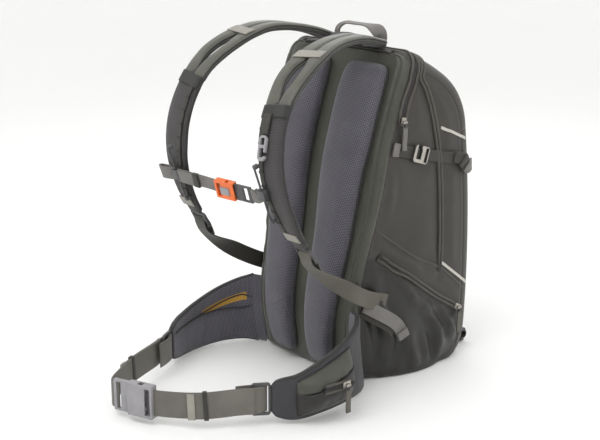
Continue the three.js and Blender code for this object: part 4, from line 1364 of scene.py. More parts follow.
@dataclass
class Closures:
    """The bag's zips, their sliders and their pulls."""

    bag: Bag
    sewing: Sewing
    turns: tuple = (88, 68, 48, 28, 8)

    def over_top(self, flat: Sequence, share: float) -> list:
        """Carries a zip's line from the left side over the top to the right side.

        Args:
            flat: its points on the side, as y and z.
            share: where it crosses the top, as a share of the top's length.

        Returns:
            Its points from one side to the other.
        """
        left = [[self.bag.half_width, y, z] for y, z in flat]
        flat_top = self.bag.half_width - self.bag.edge_round
        at_share = self.bag.seam_share + share * (1 - self.bag.seam_share)
        crest = self.bag.wrap_line.at(at_share)
        run = self.bag.wrap_line.run(at_share)
        inward = np.array([0, -run[2], run[1]])
        for turn in self.turns:
            a = math.radians(turn)
            drop = self.bag.edge_round * (1 - math.cos(a))
            left.append([flat_top + self.bag.edge_round * math.sin(a), *(crest + inward * drop)[1:]])
        left.append([flat_top / 2, crest[1], crest[2]])
        right = [[-x, y, z] for x, y, z in left[::-1]]
        return [*left, [0, crest[1], crest[2]], *right]

    def build(self) -> None:
        """Makes the three zips of the bag and every slider and pull."""
        skin = self.bag.skin()
        side = self.bag.half_width
        for name, knots, lips in (
            ("main_zip_track", self.over_top(self.bag.main_zip, 0.915), Lips.OPEN),
            ("front_zip_track", self.over_top(self.bag.front_zip, 0.837), Lips.DOUBLE),
            ("lower_zip_track", [[side, y, z] for y, z in self.bag.lower_zip], Lips.DOUBLE),
        ):
            Zip(name, knots, lips, skin).build(self.sewing)
        for name in ("main", "lower", "hip"):
            refined(f"{name}_zip_slider", CAST_METAL, 0.35, f"{name}_slider")
        ZipPull("main_zip_pull", "main_pull", WEBBING).build()
        ZipPull("lower_zip_pull", "lower_pull", OLIVE_WEBBING).build()
        ZipPull("hip_zip_pull", "hip_pull", OLIVE_WEBBING).build()


# ---- Webbing and hooks on the bag -------------------------------------------------------------------


@dataclass
class BagWebbing:
    """What is sewn to the bag: compression straps, ski loops, tails, reflective strips and the handle."""

    bag: Bag
    sewing: Sewing
    web: float = 20.0
    strap_knots: tuple = ((-50, 351), (-30, 346), (0, 338), (25, 332), (60, 324), (90, 318))
    tail_knots: tuple = ((-84, 122), (-70, 112), (-48, 94), (-30, 79), (-14, 65))
    strips: tuple = (((47, 370), (104, 346)), ((59, 163), (118, 118)))
    loop_x: float = 84.0

    def build(self) -> None:
        """Makes them all."""
        self.skin = self.bag.skin()
        for name, side in SIDES.items():
            self.compression(name, side)
            self.ski_loop(name, side)
            self.flap_seam(f"{name}_flap_seam", side)
            for k, ends in enumerate(self.strips):
                self.reflective(f"{name}_reflective_strip_{k + 1}", side, ends)
        self.tail()
        self.handle()

    def side_points(self, side: int, knots: Sequence, count: int) -> np.ndarray:
        """Points on a side through knots given as y and z."""
        line = Line([[side * self.bag.half_width, y, z] for y, z in knots])
        return line.at(np.linspace(0, 1, count))

    def round_edge(self, side: int, share: float, turns: Sequence[float]) -> list:
        """Points over the rounded rear edge, at a share of the rear's height."""
        place = self.bag.wrap_line.at(share * self.bag.seam_share)
        run = self.bag.wrap_line.run(share * self.bag.seam_share)
        inward = np.array([0, -run[2], run[1]])
        flat = self.bag.half_width - self.bag.edge_round
        made = []
        for turn in turns:
            a = math.radians(turn)
            drop = self.bag.edge_round * (1 - math.cos(a))
            p = place + inward * drop
            made.append([side * (flat + self.bag.edge_round * math.sin(a)), p[1], p[2]])
        return made

    def compression(self, name: str, side: int) -> None:
        """Makes a compression strap, its end tab, keeper, tail and hook."""
        knots = [[side * self.bag.half_width, y, z] for y, z in self.strap_knots]
        knots += self.round_edge(side, 0.845, (80, 62, 46))
        line = Line(knots)
        points = line.at(np.linspace(0, 1, 60))
        rings, _ = strip_on(self.skin, points, self.web - 2, 1.4, 1.9)
        strap = solid("strap", rings, DARK_WEBBING)
        tail, _ = strip_on(self.skin, line.at(np.linspace(0.7, 1, 20)), self.web - 3, 3.6, 1.8)
        end, _ = strip_on(self.skin, line.at(np.linspace(0.88, 1, 10)), self.web - 2, 5.3, 1.9)
        keeper, _ = strip_on(self.skin, line.at(np.linspace(0.80, 0.845, 6)), self.web + 2.5, 5.6, 1.8)
        head, _ = strip_on(self.skin, line.at(np.linspace(0, 0.06, 8)), self.web, 2.6, 2.4)
        parts = [
            strap,
            solid("tail", tail, DARK_WEBBING),
            solid("end", end, WEBBING),
            grid_object("keeper", keeper, [DARK_WEBBING], closed=True),
            solid("head", head, WEBBING),
        ]
        seat(merged(f"{name}_compression_webbing", parts), "bag", WEBBING.slot, f"{name}_compression_strap")
        refined(f"{name}_compression_hook", CAST_METAL, 0.8, f"{name}_hook")

    def ski_loop(self, name: str, side: int) -> None:
        """Makes a ski loop at the foot of the rear, with its keeper buckle."""
        x = side * self.loop_x
        path = ((131, 24), (147, 23.5), (160, 18), (161, 9), (150, 4.5), (124, 3.6))
        loop = Line([[x, y, z] for y, z in path])
        points = loop.at(np.linspace(0, 1, 40))
        run = unit(np.gradient(points, axis=0))
        web = ribbon("web", points, np.cross(LEFT, run), self.web, DARK_WEBBING, 2.4)
        collar = loop.at(np.linspace(0.2, 0.34, 8))
        buckle = ribbon("buckle", collar, np.cross(LEFT, unit(np.gradient(collar, axis=0))), 24, ACETAL, 6.0)
        bar = loop.at(np.linspace(0.6, 0.68, 6))
        keeper = ribbon("keeper", bar, np.cross(LEFT, unit(np.gradient(bar, axis=0))), 23, ACETAL, 5.0)
        made = merged(f"{name}_ski_loop_webbing", [web, buckle, keeper])
        seat(made, f"{name}_loop", DARK_WEBBING.slot, f"{name}_ski_loop")

    def flap_seam(self, name: str, side: int) -> None:
        """Makes the bound seam of the flap over the lower pocket, with its row of stitches."""
        points = self.side_points(side, self.bag.flap_seam, 70)
        laid, normal = self.skin.on(points, 0.3)
        seat(bead(name, laid, normal, 3.4, 2.4, LIT_LIP_CLOTH), "bag", LIT_LIP_CLOTH.slot)
        row, facing = self.skin.on(points + UP * 5.0, 0.2)
        self.sewing.add("bag", row, facing)

    def reflective(self, name: str, side: int, ends: Sequence) -> None:
        """Makes one reflective strip that runs back to the rear edge."""
        points = self.side_points(side, ends, 24)
        rings, _ = strip_on(self.skin, points, 4.2, 0.5, 0.8)
        seat(solid(name, rings, REFLECTIVE), "bag", REFLECTIVE.slot)

    def tail(self) -> None:
        """Makes the grey webbing tail on the left side, folded at its end, over a darker layer."""
        laid, _ = self.skin.on(self.side_points(1, self.tail_knots, 5), (2.5, 7.5, 8.0, 8.5, 7.0))
        line = Line(laid)
        upper, lower = line.at(np.linspace(0, 1, 30)), line.at(np.linspace(0, 0.8, 20))
        facing = np.array([1.0, -0.12, 0.1])
        made = merged(
            "left_stabiliser_tail",
            [
                ribbon("upper", upper, facing, self.web, WEBBING, 2.1),
                ribbon("end", upper[-5:] + facing * 2.1, facing, self.web, WEBBING, 2.0),
                ribbon("lower", lower - facing * 4.0 - [0, 4, 8], facing, self.web - 3, DARK_WEBBING, 2.0),
            ],
        )
        seat(made, "bag", WEBBING.slot, "left_stabiliser_webbing")

    def handle(self) -> None:
        """Makes the grab handle, sewn in flat along the seam and turned flat over the hand."""
        half, y, foot, rise = 44.0, 4.0, self.bag.height + 1.5, 27.0
        left = [[half, y, foot + 1], [half + 2, y, foot + 0.5 * rise], [0.7 * half, y, foot + 0.92 * rise]]
        knots = [*left, [0, y, foot + rise], *[[-p[0], *p[1:]] for p in left[::-1]]]
        line = Line(knots)
        share = np.linspace(0, 1, 60)
        turn = np.pi * share[:, None]
        across = np.hstack([np.cos(turn), np.sin(turn), 0 * turn])
        rings = swept(line, share, across, strap_section(self.web, 2.2))
        made = solid("grab_handle_webbing", rings, WEBBING)
        seat(made, "handle", WEBBING.slot, "grab_handle")


# ---- Shoulder harness -------------------------------------------------------------------------------


@dataclass
class ShoulderStrap:
    """A padded strap, two satin lobes that part round a slot and join into one mesh-faced pad below."""

    name: str
    side: int
    sewing: Sewing
    reach: float = 0.0
    lift: float = 0.0
    root_x: float = 52.0
    tip_x: float = 102.0
    foot: float = 483.5
    width: float = 48.0
    thick: float = 11.0
    slot: float = 17.0
    spread: float = 10.0
    label_at: float = 0.545

    def __post_init__(self) -> None:
        """Works out the strap's middle line."""
        r, h, z = self.reach, self.lift, self.foot
        out = [self.side * (self.root_x + s * (self.tip_x - self.root_x)) for s in
               (0, 0.12, 0.32, 0.56, 0.76, 0.9, 0.98, 1)]
        places = [
            (-10, z + 0.4 + self.thick / 2),
            (-60, z + 16 + 0.3 * h),
            (-128 - 0.3 * r, z + 8 + h),
            (-196 - r, z - 32 + h),
            (-232 - r, z - 88 + 0.6 * h),
            (-238 - r, z - 152 + 0.4 * h),
            (-216 - 1.3 * r, z - 214 + 0.6 * h),
            (-192 - 1.5 * r, z - 254 + 0.8 * h),
        ]
        self.line = Line([[x, *p] for x, p in zip(out, places)])

    def wide_at(self, v: np.ndarray) -> np.ndarray:
        """The strap's width at places along it."""
        v = np.asarray(v, float)
        root = 0.86 + 0.14 * np.minimum(1, 8 * v)
        tip = 1 - 0.45 * np.maximum(0, (v - 0.72) / 0.28) ** 1.5
        parted = self.spread * ease((v - 0.22) / 0.14) * ease((0.54 - v) / 0.14)
        return self.width * root * tip + parted

    def gap_at(self, v: np.ndarray) -> np.ndarray:
        """The slot's width at places along it."""
        return self.slot * ease((np.asarray(v) - 0.32) / 0.08) * ease((0.52 - np.asarray(v)) / 0.09) + 0.8

    def place(self, v: np.ndarray, across: np.ndarray, out: np.ndarray) -> np.ndarray:
        """Points of the strap.

        Args:
            v: places along it.
            across: millimetres from its middle, away from the other strap.
            out: millimetres from its middle, away from the wearer.

        Returns:
            The points.
        """
        v, across, out = np.broadcast_arrays(*(np.asarray(a, float) for a in (v, across, out)))
        point, wide, face = framing(self.line, v, LEFT * self.side)
        return point + wide * across[..., None] + face * (self.side * out)[..., None]

    def facing(self, v: np.ndarray) -> np.ndarray:
        """The direction out of the strap's face."""
        return framing(self.line, np.asarray(v, float), LEFT * self.side)[2] * self.side

    def lobe(self, edge: int) -> bpy.types.Object:
        """Makes one of the two upper lobes; edge is 1 for the outer one."""
        v = np.linspace(0, 0.54, 68)
        inner, outer = self.gap_at(v) / 2, self.wide_at(v) / 2
        section = oval(1.0, 1.0, 26, 3.2)
        across = edge * ((inner + outer) / 2)[:, None] + (outer - inner)[:, None] * section[:, 0]
        wave = 0.5 * np.sin(v * 55 + edge) * np.sin(v * 23)
        out = (self.thick + 1.0 + wave)[:, None] * section[:, 1]
        rings = self.place(v[:, None], across, out)
        face = np.broadcast_to(np.roll(section[:, 1], -1) + section[:, 1] > -0.2, (len(v) - 1, 26))
        return grid_object("lobe", rings, [DARK_MESH, BAND_SATIN], closed=True, index=face.astype(int),
                           turned=True)

    def lower_pad(self) -> bpy.types.Object:
        """Makes the lower part, faced and backed with mesh."""
        v = np.linspace(0.515, 0.998, 72)
        section = oval(1.0, 1.0, 36, 4.0)
        tip = 1 - 0.25 * ease((v - 0.985) / 0.015)
        across = (self.wide_at(v) * tip)[:, None] * section[:, 0]
        crown = 1 - 0.22 * np.abs(2 * section[:, 0]) ** 3
        out = (self.thick + 0.6 * np.sin(v * 70))[:, None] * section[:, 1] * crown
        return grid_object("lower", self.place(v[:, None], across, out), [DARK_MESH], closed=True)

    def patch(self, label: str, v0: float, v1: float, x0: float, x1: float, out: float, finish: Finish,
              thick: float = 1.2, round_: bool = True) -> bpy.types.Object:
        """Makes a patch that lies over the strap's face.

        Args:
            label: the patch's name.
            v0: where it starts, along the strap.
            v1: where it ends.
            x0: its inner edge, in millimetres from the strap's middle.
            x1: its outer edge.
            out: how high its under side lies over the strap's middle.
            finish: its finish.
            thick: its thickness.
            round_: whether it wraps down over the strap's edges.

        Returns:
            The patch.
        """
        v = np.linspace(v0, v1, 14)
        x = np.linspace(x0, x1, 15)
        half = (self.wide_at(v) / 2)[:, None]
        near = np.clip(np.abs(x)[None] / half, 0, 1.06)
        drop = (0.45 * self.thick) * np.clip(near - 0.8, 0, 1) ** 2 * 12 if round_ else 0 * near
        top = self.place(v[:, None], x[None], out + thick - drop)
        under = self.place(v[:, None], x[None], out - drop)
        return grid_object(label, np.concatenate([top, under[:, ::-1]], axis=1), [finish], closed=True)

    def root_seat(self, piece: bpy.types.Object, slot: str, *nodes: str) -> None:
        """Bakes a piece that crosses the yoke, where the strap is sewn on, in place; it rides on neither body.
        """
        x = self.side * self.root_x
        bend_seat(piece, ("bag", "harness"), slot, ((x, -10, 490), (x, -46, 496)), *nodes)

    def build(self) -> None:
        """Makes the strap and what is sewn to it."""
        lobes = merged(f"{self.name}_strap_lobes", [self.lobe(1), self.lobe(-1)])
        smoother(lobes)
        self.root_seat(lobes, PACK_CLOTH.slot, f"{self.name}_shoulder_strap")
        lower = smoother(self.lower_pad())
        lower.name = f"{self.name}_strap_lower_pad"
        seat(lower, "harness", DARK_MESH.slot)
        v = np.linspace(0.0, 0.535, 96)
        piping = []
        for edge in (1, -1):
            for across in (edge * self.wide_at(v) / 2, edge * (self.gap_at(v) / 2 + 0.6)):
                piping.append(bead("p", self.place(v, across, 1.6), self.facing(v), 2.4, 2.4, BINDING))
        self.root_seat(merged(f"{self.name}_strap_piping", piping), BINDING.slot)
        v = np.linspace(0.52, 0.995, 86)
        edges = [bead("e", self.place(v, edge * (self.wide_at(v) / 2 - 0.4), 0.6), self.facing(v), 3.2, 5.0,
                      BINDING) for edge in (1, -1)]
        seat(merged(f"{self.name}_strap_binding", edges), "harness", BINDING.slot)
        self.tabs()
        refined(f"{self.name}_strap_ladder_lock", ACETAL, 0.7, "harness")
        refined(f"{self.name}_sternum_rail", ACETAL, 0.5, "harness", "plastic")
        for edge in (1, -1):
            for inset in (3.4, -3.0):
                v = np.linspace(0.02, 0.46, 90)
                base = self.wide_at(v) / 2 - inset if inset > 0 else self.gap_at(v) / 2 - inset
                self.sewing.add("harness", self.place(v[20:], edge * base[20:], self.thick / 2 + 0.1),
                                self.facing(v[20:]))

    def tabs(self) -> None:
        """Makes the cross tab, the plain label, the daisy strip and the tip's tab."""
        t = self.thick / 2
        half = self.width / 2
        tab = self.patch("cross", 0.312, 0.346, -half - 1.2, half + 1.2, t + 0.7, PALE_WEBBING)
        seat(tab, "harness", PALE_WEBBING.slot)
        tab.name = f"{self.name}_strap_cross_tab"
        label = self.patch("label", self.label_at - 0.016, self.label_at + 0.022, -half - 0.6, half + 0.6,
                           t + 0.5, BINDING, 1.6)
        label.name = f"{self.name}_strap_label"
        seat(label, "harness", BINDING.slot)
        v = np.linspace(self.label_at + 0.02, 0.93, 60)
        laid = self.place(v, -0.30 * self.wide_at(v), t + 1.3)
        strip = ribbon("strip", laid, self.facing(v), 8.0, DARK_WEBBING, 1.6)
        bars = [ribbon("bar", self.place(np.linspace(a, a + 0.008, 3), -0.30 * self.wide_at(np.full(3, a)),
                                         t + 2.3), self.facing(np.full(3, a)), 8.6, BINDING, 1.2)
                for a in np.arange(self.label_at + 0.05, 0.92, 0.042)]
        seat(merged(f"{self.name}_strap_daisy_strip", [strip, *bars]), "harness", WEBBING.slot)
        tip = self.patch("tip", 0.930, 0.960, -14, 14, t + 0.6, PALE_WEBBING)
        tip.name = f"{self.name}_strap_tip_tab"
        seat(tip, "harness", PALE_WEBBING.slot)


@dataclass
class Harness:
    """Both shoulder straps with their lower webbings, the sternum strap and the hook on the left strap."""

    bag: Bag
    sewing: Sewing
    web: float = 25.0
    lock_length: float = 26.0
    sternum_z: float = 314.0
    sternum_web: float = 20.0
    anchor: tuple = (-84.0, 126.0)

    def build(self) -> None:
        """Makes them all."""
        self.straps = {
            "left": ShoulderStrap("left", 1, self.sewing),
            "right": ShoulderStrap("right", -1, self.sewing, reach=20.0, lift=17.0),
        }
        for name, strap in self.straps.items():
            strap.build()
            self.lower_webbing(name, strap)
        self.sternum()
        self.hook()

    def lower_webbing(self, name: str, strap: ShoulderStrap) -> None:
        """Makes the webbing from a strap's ladder lock down to the bag's side."""
        side = strap.side
        point, wide, face = (a[0] for a in framing(strap.line, np.array([1.0]), LEFT * side))
        run = strap.line.run(np.array([1.0]))[0]
        lock = point + run * (self.lock_length / 2 + 0.4)
        over = 4.8

        def by(reach: float, out: float = over) -> np.ndarray:
            """A point over the lock."""
            return lock + run * reach + face * side * out

        laid, _ = self.bag.skin().on(np.array([[side * self.bag.half_width, *self.anchor]]), 2.4)
        end = laid[0]
        middle = by(20) * 0.45 + end * 0.55 + [side * 10, 0, -6]
        foot, _ = self.bag.skin().on(end[None] + [0, 18, -7], 2.0)
        line = Line([by(-6, -1), by(2, 3.4), by(8), by(20), middle, end + [side * 1.5, -12, 5], foot[0]])
        share = np.linspace(0, 1, 70)
        turn = np.minimum(1, 1.7 * np.maximum(0, share - 0.1))[:, None]
        across = wide * (1 - turn) + np.array([0, side * 0.4, side * 0.9]) * turn
        finish = OLIVE_WEBBING if side > 0 else DARK_WEBBING
        rings = swept(line, share, across, strap_section(self.web, 2.1))
        web = solid("web", rings, finish)
        back = Line([by(-3, -1.6), by(6, -4.2), by(18, -3.6), by(30, -2.0)])
        rings = swept(back, np.linspace(0, 1, 14), wide, strap_section(self.web - 1, 2.0))
        loose = solid("loose", rings, finish)
        made = merged(f"{name}_lower_strap_webbing", [web, loose])
        bend_seat(made, ("bag", "harness"), finish.slot, (end, by(4)), f"{name}_lower_webbing")

    def sternum(self) -> None:
        """Makes the sternum strap's webbings, clips and buckle."""
        clips = {name: middle_of(f"{name}_sternum_clip") for name in SIDES}
        for name in SIDES:
            refined(f"{name}_sternum_clip", ACETAL, 0.7, "sternum_strap")
        refined("sternum_buckle_female", ORANGE_ACETAL, 0.9, "sternum_socket")
        refined("sternum_buckle_male", ACETAL, 0.5, "sternum_strap", "plastic")
        rail = unit(np.array([0, -0.34, 0.94]))
        back = -np.cross(LEFT, rail)
        meet = np.array([30.0, -250.0, self.sternum_z - 10])
        run = unit(meet + back * 6.35 - clips["right"] - [10.5, 0, 0])
        socket_end = meet - run * 31
        plug_end = meet + run * 28
        left = Line([clips["left"] + [-5, 0, 0], (clips["left"] + plug_end) / 2 + [0, 0, -2], plug_end])
        parts = [self.flat_web("web", left, rail, WEBBING)]
        doubled = Line([clips["left"] + [-9, -2.4, 0], (clips["left"] + plug_end) / 2 + [0, -2.4, -2]])
        parts.append(self.flat_web("doubled", doubled, rail, WEBBING))
        made = merged("left_sternum_strap_webbing", parts)
        seat(made, "sternum_strap", WEBBING.slot, "left_sternum_webbing")
        start = clips["right"] + [8, 0, 0]
        right = Line([start, start * 0.6 + socket_end * 0.4 + back * 1.5, socket_end - run * 8 + back * 3,
                      socket_end + run * 6 + back * 0.5])
        over = Line([start + back * -2.4, start * 0.5 + socket_end * 0.5 + back * -1.4])
        keeper = Line([start * 0.62 + socket_end * 0.38 + back * -0.4, start * 0.5 + socket_end * 0.5])
        parts = [
            self.flat_web("web", right, rail, WEBBING),
            self.flat_web("over", over, rail, WEBBING),
            self.flat_web("keeper", keeper, rail, DARK_WEBBING, self.sternum_web + 1.5, 6.4),
        ]
        made = merged("right_sternum_strap_webbing", parts)
        bend_seat(made, ("sternum_strap", "sternum_socket"), WEBBING.slot, (start, socket_end),
                  "right_sternum_webbing")
        clip = clips["right"]
        loop = Line([clip + [-4, 0, 0], clip + [-14, -5, 0], clip + [-30, -6, -1], clip + [-38, 0, -1],
                     clip + [-30, 5, -1], clip + [-14, 3, 0]])
        seat(self.flat_web("right_sternum_tail_loop", loop, rail, WEBBING), "sternum_strap", WEBBING.slot)
        face = unit(np.cross(rail, run))
        centre = meet - run * 15 + face * (5.3 if face[1] < 0 else -5.3)
        plate = Line([centre + run * 8, centre - run * 8])
        seat(self.flat_web("sternum_buckle_face", plate, rail, PALE_ACETAL, 12.0, 1.6), "sternum_socket",
             PALE_ACETAL.slot)

    def flat_web(self, name: str, line: Line, across: np.ndarray, finish: Finish, width: float = 0.0,
                 thick: float = 2.0) -> bpy.types.Object:
        """Makes webbing along a line, its width along one direction."""
        share = np.linspace(0, 1, max(6, int(line.length / 3)))
        section = strap_section(width or self.sternum_web, thick)
        return solid(name, swept(line, share, across, section), finish)

    def hook(self) -> None:
        """Makes the grey hook under the left strap's label, and the short webbing that holds it."""
        strap = self.straps["left"]
        refined("shoulder_clip", PALE_ACETAL, 0.8, "strap_hook")
        v = np.linspace(strap.label_at + 0.012, strap.label_at + 0.072, 12)
        hold = ribbon("left_hook_webbing", strap.place(v, -6.0, strap.thick / 2 + 3.2), strap.facing(v), 13.0,
                      DARK_WEBBING, 2.4)
        seat(hold, "harness", DARK_WEBBING.slot)


# ---- Hip belt ---------------------------------------------------------------------------------------


# The right half of the belt turns about an upright line through BELT_HINGE, and meets the left half at the
# buckle.
BELT_HINGE = np.array([-124.8, -99.9, 0.0])
BUCKLE_MIDDLE = np.array([0.0, -405.0, 33.0])


@dataclass
class Wing:
    """One half of the hip belt: a foam wing with a mesh inner face, its pocket, lock and webbing."""

    name: str
    side: int
    places: tuple
    bag: Bag
    sewing: Sewing
    half_width: float = 128.0
    belt_z: float = 59.0
    root_height: float = 112.0
    tip_height: float = 52.0
    thick: float = 11.0
    web: float = 38.0
    lock_length: float = 26.0
    pocket: tuple = (0.3, 0.82)
    pocket_depth: float = 22.0
    slit: tuple = (-0.12, 0.6)

    def __post_init__(self) -> None:
        """Works out the wing's middle line."""
        knots = [[self.side * (self.half_width + out), y, self.belt_z - drop] for out, y, drop in self.places]
        self.line = Line(knots)
        share = np.linspace(0, 0.5, 800)
        self.back = self.bag.back_line.at(share)
        self.body = "bag" if self.side > 0 else "belt_gate"

    def place(self, v: np.ndarray, up: np.ndarray, out: np.ndarray) -> np.ndarray:
        """Points of the wing.

        Args:
            v: places along it.
            up: places up it, from -0.5 to 0.5.
            out: millimetres out from its middle.

        Returns:
            The points.
        """
        v, up, out = np.broadcast_arrays(*(np.asarray(a, float) for a in (v, up, out)))
        point, _, face = framing(self.line, np.maximum(v, 0), UP)
        inward = (np.minimum(v, 0) * self.line.length)[..., None]
        point = point + np.array([self.side * 0.93, -0.36, 0]) * inward
        height = self.root_height + (self.tip_height - self.root_height) * np.maximum(v, 0) ** 0.8
        made = point + UP * (up * height)[..., None] - face * (self.side * out)[..., None]
        back_y = np.interp(made[..., 2], self.back[:, 2], self.back[:, 1])
        made[..., 1] += (back_y - (self.bag.base_back - 12)) * (1 - np.maximum(v, 0)) ** 3
        return made

    def facing(self, v: np.ndarray) -> np.ndarray:
        """The direction out of the wing."""
        return -framing(self.line, np.asarray(v, float), UP)[2] * self.side

    def rounded(self, v: np.ndarray) -> np.ndarray:
        """The share of its height that the wing keeps where its tip rounds off."""
        return 0.70 + 0.30 * np.sqrt(1 - np.clip((v - 0.86) / 0.14, 0, 1) ** 2)

    def slit_middle(self, v: np.ndarray) -> np.ndarray:
        """How far up the wing the slit of its inner pocket lies."""
        share = (v - self.slit[0]) / (self.slit[1] - self.slit[0])
        return 0.10 + 0.12 * share

    def slit_open(self, v: np.ndarray) -> np.ndarray:
        """Half the slit's opening, as a share of the wing's height."""
        share = (v - self.slit[0]) / (self.slit[1] - self.slit[0])
        return 0.10 * ease(share * 3) * ease((1 - share) / 0.75)

    def seat_wing(self, piece: bpy.types.Object, slot: str, *nodes: str) -> None:
        """Puts a piece on the belt; the left wing's pieces ride on the bag, and the right wing's are baked in
        place on neither body.
        """
        if self.side > 0:
            seat(piece, "bag", slot, *nodes)
        else:
            start, end = self.line.at(np.array([0.0, 0.14]))
            bend_seat(piece, ("bag", "belt_gate"), slot, (start, end), *nodes)

    def build(self) -> None:
        """Makes the wing and everything on it."""
        v = np.linspace(-0.1, 1, 110)
        section = oval(1.0, 1.0, 72, 7.0)
        size = self.rounded(v)[:, None]
        up = section[:, 0] * size
        fine = 0.35 * np.sin(v * 60)[:, None] * np.cos(section[:, 0] * 9)
        out = section[:, 1] * (self.thick + fine)
        inner = section[:, 1] < -0.3
        index = np.where(np.broadcast_to(inner & np.roll(inner, -1), (109, 72)), 1, 0)
        if self.side < 0:
            open_ = self.slit_open(v)
            gap = np.abs(up - self.slit_middle(v)[:, None]) / np.maximum(open_[:, None], 1e-3)
            recess = ease(1.25 - gap) * (open_[:, None] > 0.004)
            out = out + np.where(inner, 4.2 * recess, 0)
            lining = (gap < 1.0) & (open_[:, None] > 0.006) & inner
            index = np.where(lining[:-1], 2, index)
        rings = self.place(v[:, None], up, out)
        wing = grid_object(f"{self.name}_wing_padding", rings, [FOAM_CLOTH, SPACER, LINING], closed=True,
                           index=index)
        smoother(wing)
        self.seat_wing(wing, FOAM_CLOTH.slot, f"{self.name}_hip_wing")
        rim = []
        for edge in (1, -1):
            path = self.place(v, edge * 0.5 * self.rounded(v), 0 * v)
            rim.append(bead("rim", path, self.facing(v), 4.4, self.thick - 3.0, BINDING))
        tip = np.linspace(-0.5, 0.5, 24)
        end = self.place(np.ones(24), tip * 0.70, 0 * tip)
        rim.append(bead("rim", end, self.facing(np.ones(24)), 4.0, self.thick - 3.0, BINDING, tapered=False))
        self.seat_wing(merged(f"{self.name}_wing_binding", rim), BINDING.slot)
        for edge in (0.44, -0.44):
            path = self.place(v[8:], edge * self.rounded(v[8:]), -self.thick / 2)
            self.sewing.add(self.body, path, -self.facing(v[8:]))
        if self.side < 0:
            self.slit_lips()
        self.hip_pocket()
        self.lock_and_webbing()

    def slit_lips(self) -> None:
        """Makes the dark lips of the slit in the wing's inner face."""
        v = np.linspace(0, 0.97, 80)
        open_ = self.slit_open(v)
        lips = []
        for edge in (1, -1):
            path = self.place(v, self.slit_middle(v) + edge * (open_ + 0.012), -self.thick / 2 - 0.4)
            lips.append(bead("lip", path, self.facing(v), 2.2, 2.4, BINDING))
        seat(merged(f"{self.name}_wing_slit_lips", lips), self.body, BINDING.slot)

    def hip_pocket(self) -> None:
        """Makes the pocket on the wing's outer face, filled by cloth simulation."""
        rows, columns = 52, 34
        v, u = np.meshgrid(np.linspace(0, 1, rows), np.linspace(0, 1, columns), indexing="ij")
        place = self.pocket[0] + (self.pocket[1] - self.pocket[0]) * v
        rise = (1 - np.abs(2 * u - 1) ** 3.2) * (1 - np.abs(2 * v - 1) ** 4)
        crease = 0.9 * np.sin(v * 21 + 4 * u) * np.sin(v * 9 - u * 5)
        crease += 1.2 * np.sin(u * 14 + v * 3) * (u < 0.5)
        seam = np.exp(-(((u - 0.70 + 0.10 * v) / 0.035) ** 2))
        out = self.thick / 2 + 0.5 + self.pocket_depth * rise + (crease * rise - 1.6 * seam * rise)
        top = self.place(place, 0.86 * (u - 0.5), out)
        under = self.place(place, 0.86 * (u - 0.5), self.thick / 2 - 0.5)[:, ::-1][:, 4:-4:5]
        rings = np.concatenate([top, under], axis=1)
        band = u[:-1, :-1] > 0.74 - 0.10 * v[:-1, :-1]
        index = np.zeros((rows - 1, rings.shape[1]), int)
        index[:, : columns - 1] = band
        pocket = grid_object(f"{self.name}_hip_pocket_cloth", rings, [POCKET_CLOTH, SATIN], closed=True,
                             index=index)
        pinned = np.ones(rings.shape[:2])
        pinned[:, :columns] = np.clip(1 - rise * 6 + 0.8 * seam, 0, 1)
        filled(pocket, pinned.ravel(), 2.0, 3.0)
        seat(pocket, self.body, PACK_CLOTH.slot, f"{self.name}_hip_pocket")
        line = np.linspace(0.06, 0.94, 60)
        at = self.pocket[0] + (self.pocket[1] - self.pocket[0]) * line
        row = 0.70 - 0.10 * line
        depth = (1 - np.abs(2 * row - 1) ** 3.2) * (1 - np.abs(2 * line - 1) ** 4) * self.pocket_depth
        path = self.place(at, 0.86 * (row - 0.5), self.thick / 2 + 0.6 + depth)
        seat(bead(f"{self.name}_pocket_piping", path, self.facing(at), 2.2, 2.2, BINDING), self.body,
             BINDING.slot)
        rim = []
        around = np.linspace(0, 1, 70)
        for edge in (0.03, 0.97):
            along = self.pocket[0] + (self.pocket[1] - self.pocket[0]) * around
            path = self.place(along, 0.86 * (edge - 0.5), self.thick / 2 + 1.2)
            rim.append(bead("rim", path, self.facing(around), 2.8, 2.4, BINDING))
        seat(merged(f"{self.name}_pocket_binding", rim), self.body, BINDING.slot)

    def lock_and_webbing(self) -> None:
        """Makes the ladder lock at the tip and the webbing from it to the buckle."""
        s = self.side
        refined(f"{self.name}_belt_ladder_lock", ACETAL, 0.8, self.body)
        tip = self.line.at(1.0)
        run = self.line.run(np.array(1.0))
        out = self.facing(np.array([1.0]))[0]
        lock = tip + run * (self.lock_length / 2 + 1.2)
        low, high = (np.array(c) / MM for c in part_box("belt_buckle_female" if s > 0 else "belt_buckle_male"))
        plug_run = unit(np.cross(UP, (BUCKLE_MIDDLE - BELT_HINGE) * [1, 1, 0]))
        meets = BUCKLE_MIDDLE - plug_run * 8
        end = meets + plug_run * (33.0 if s > 0 else -17.0)
        before = end + plug_run * s * 12

        def at(reach: float, off: float) -> np.ndarray:
            """A point over the lock."""
            return lock + run * reach + out * off

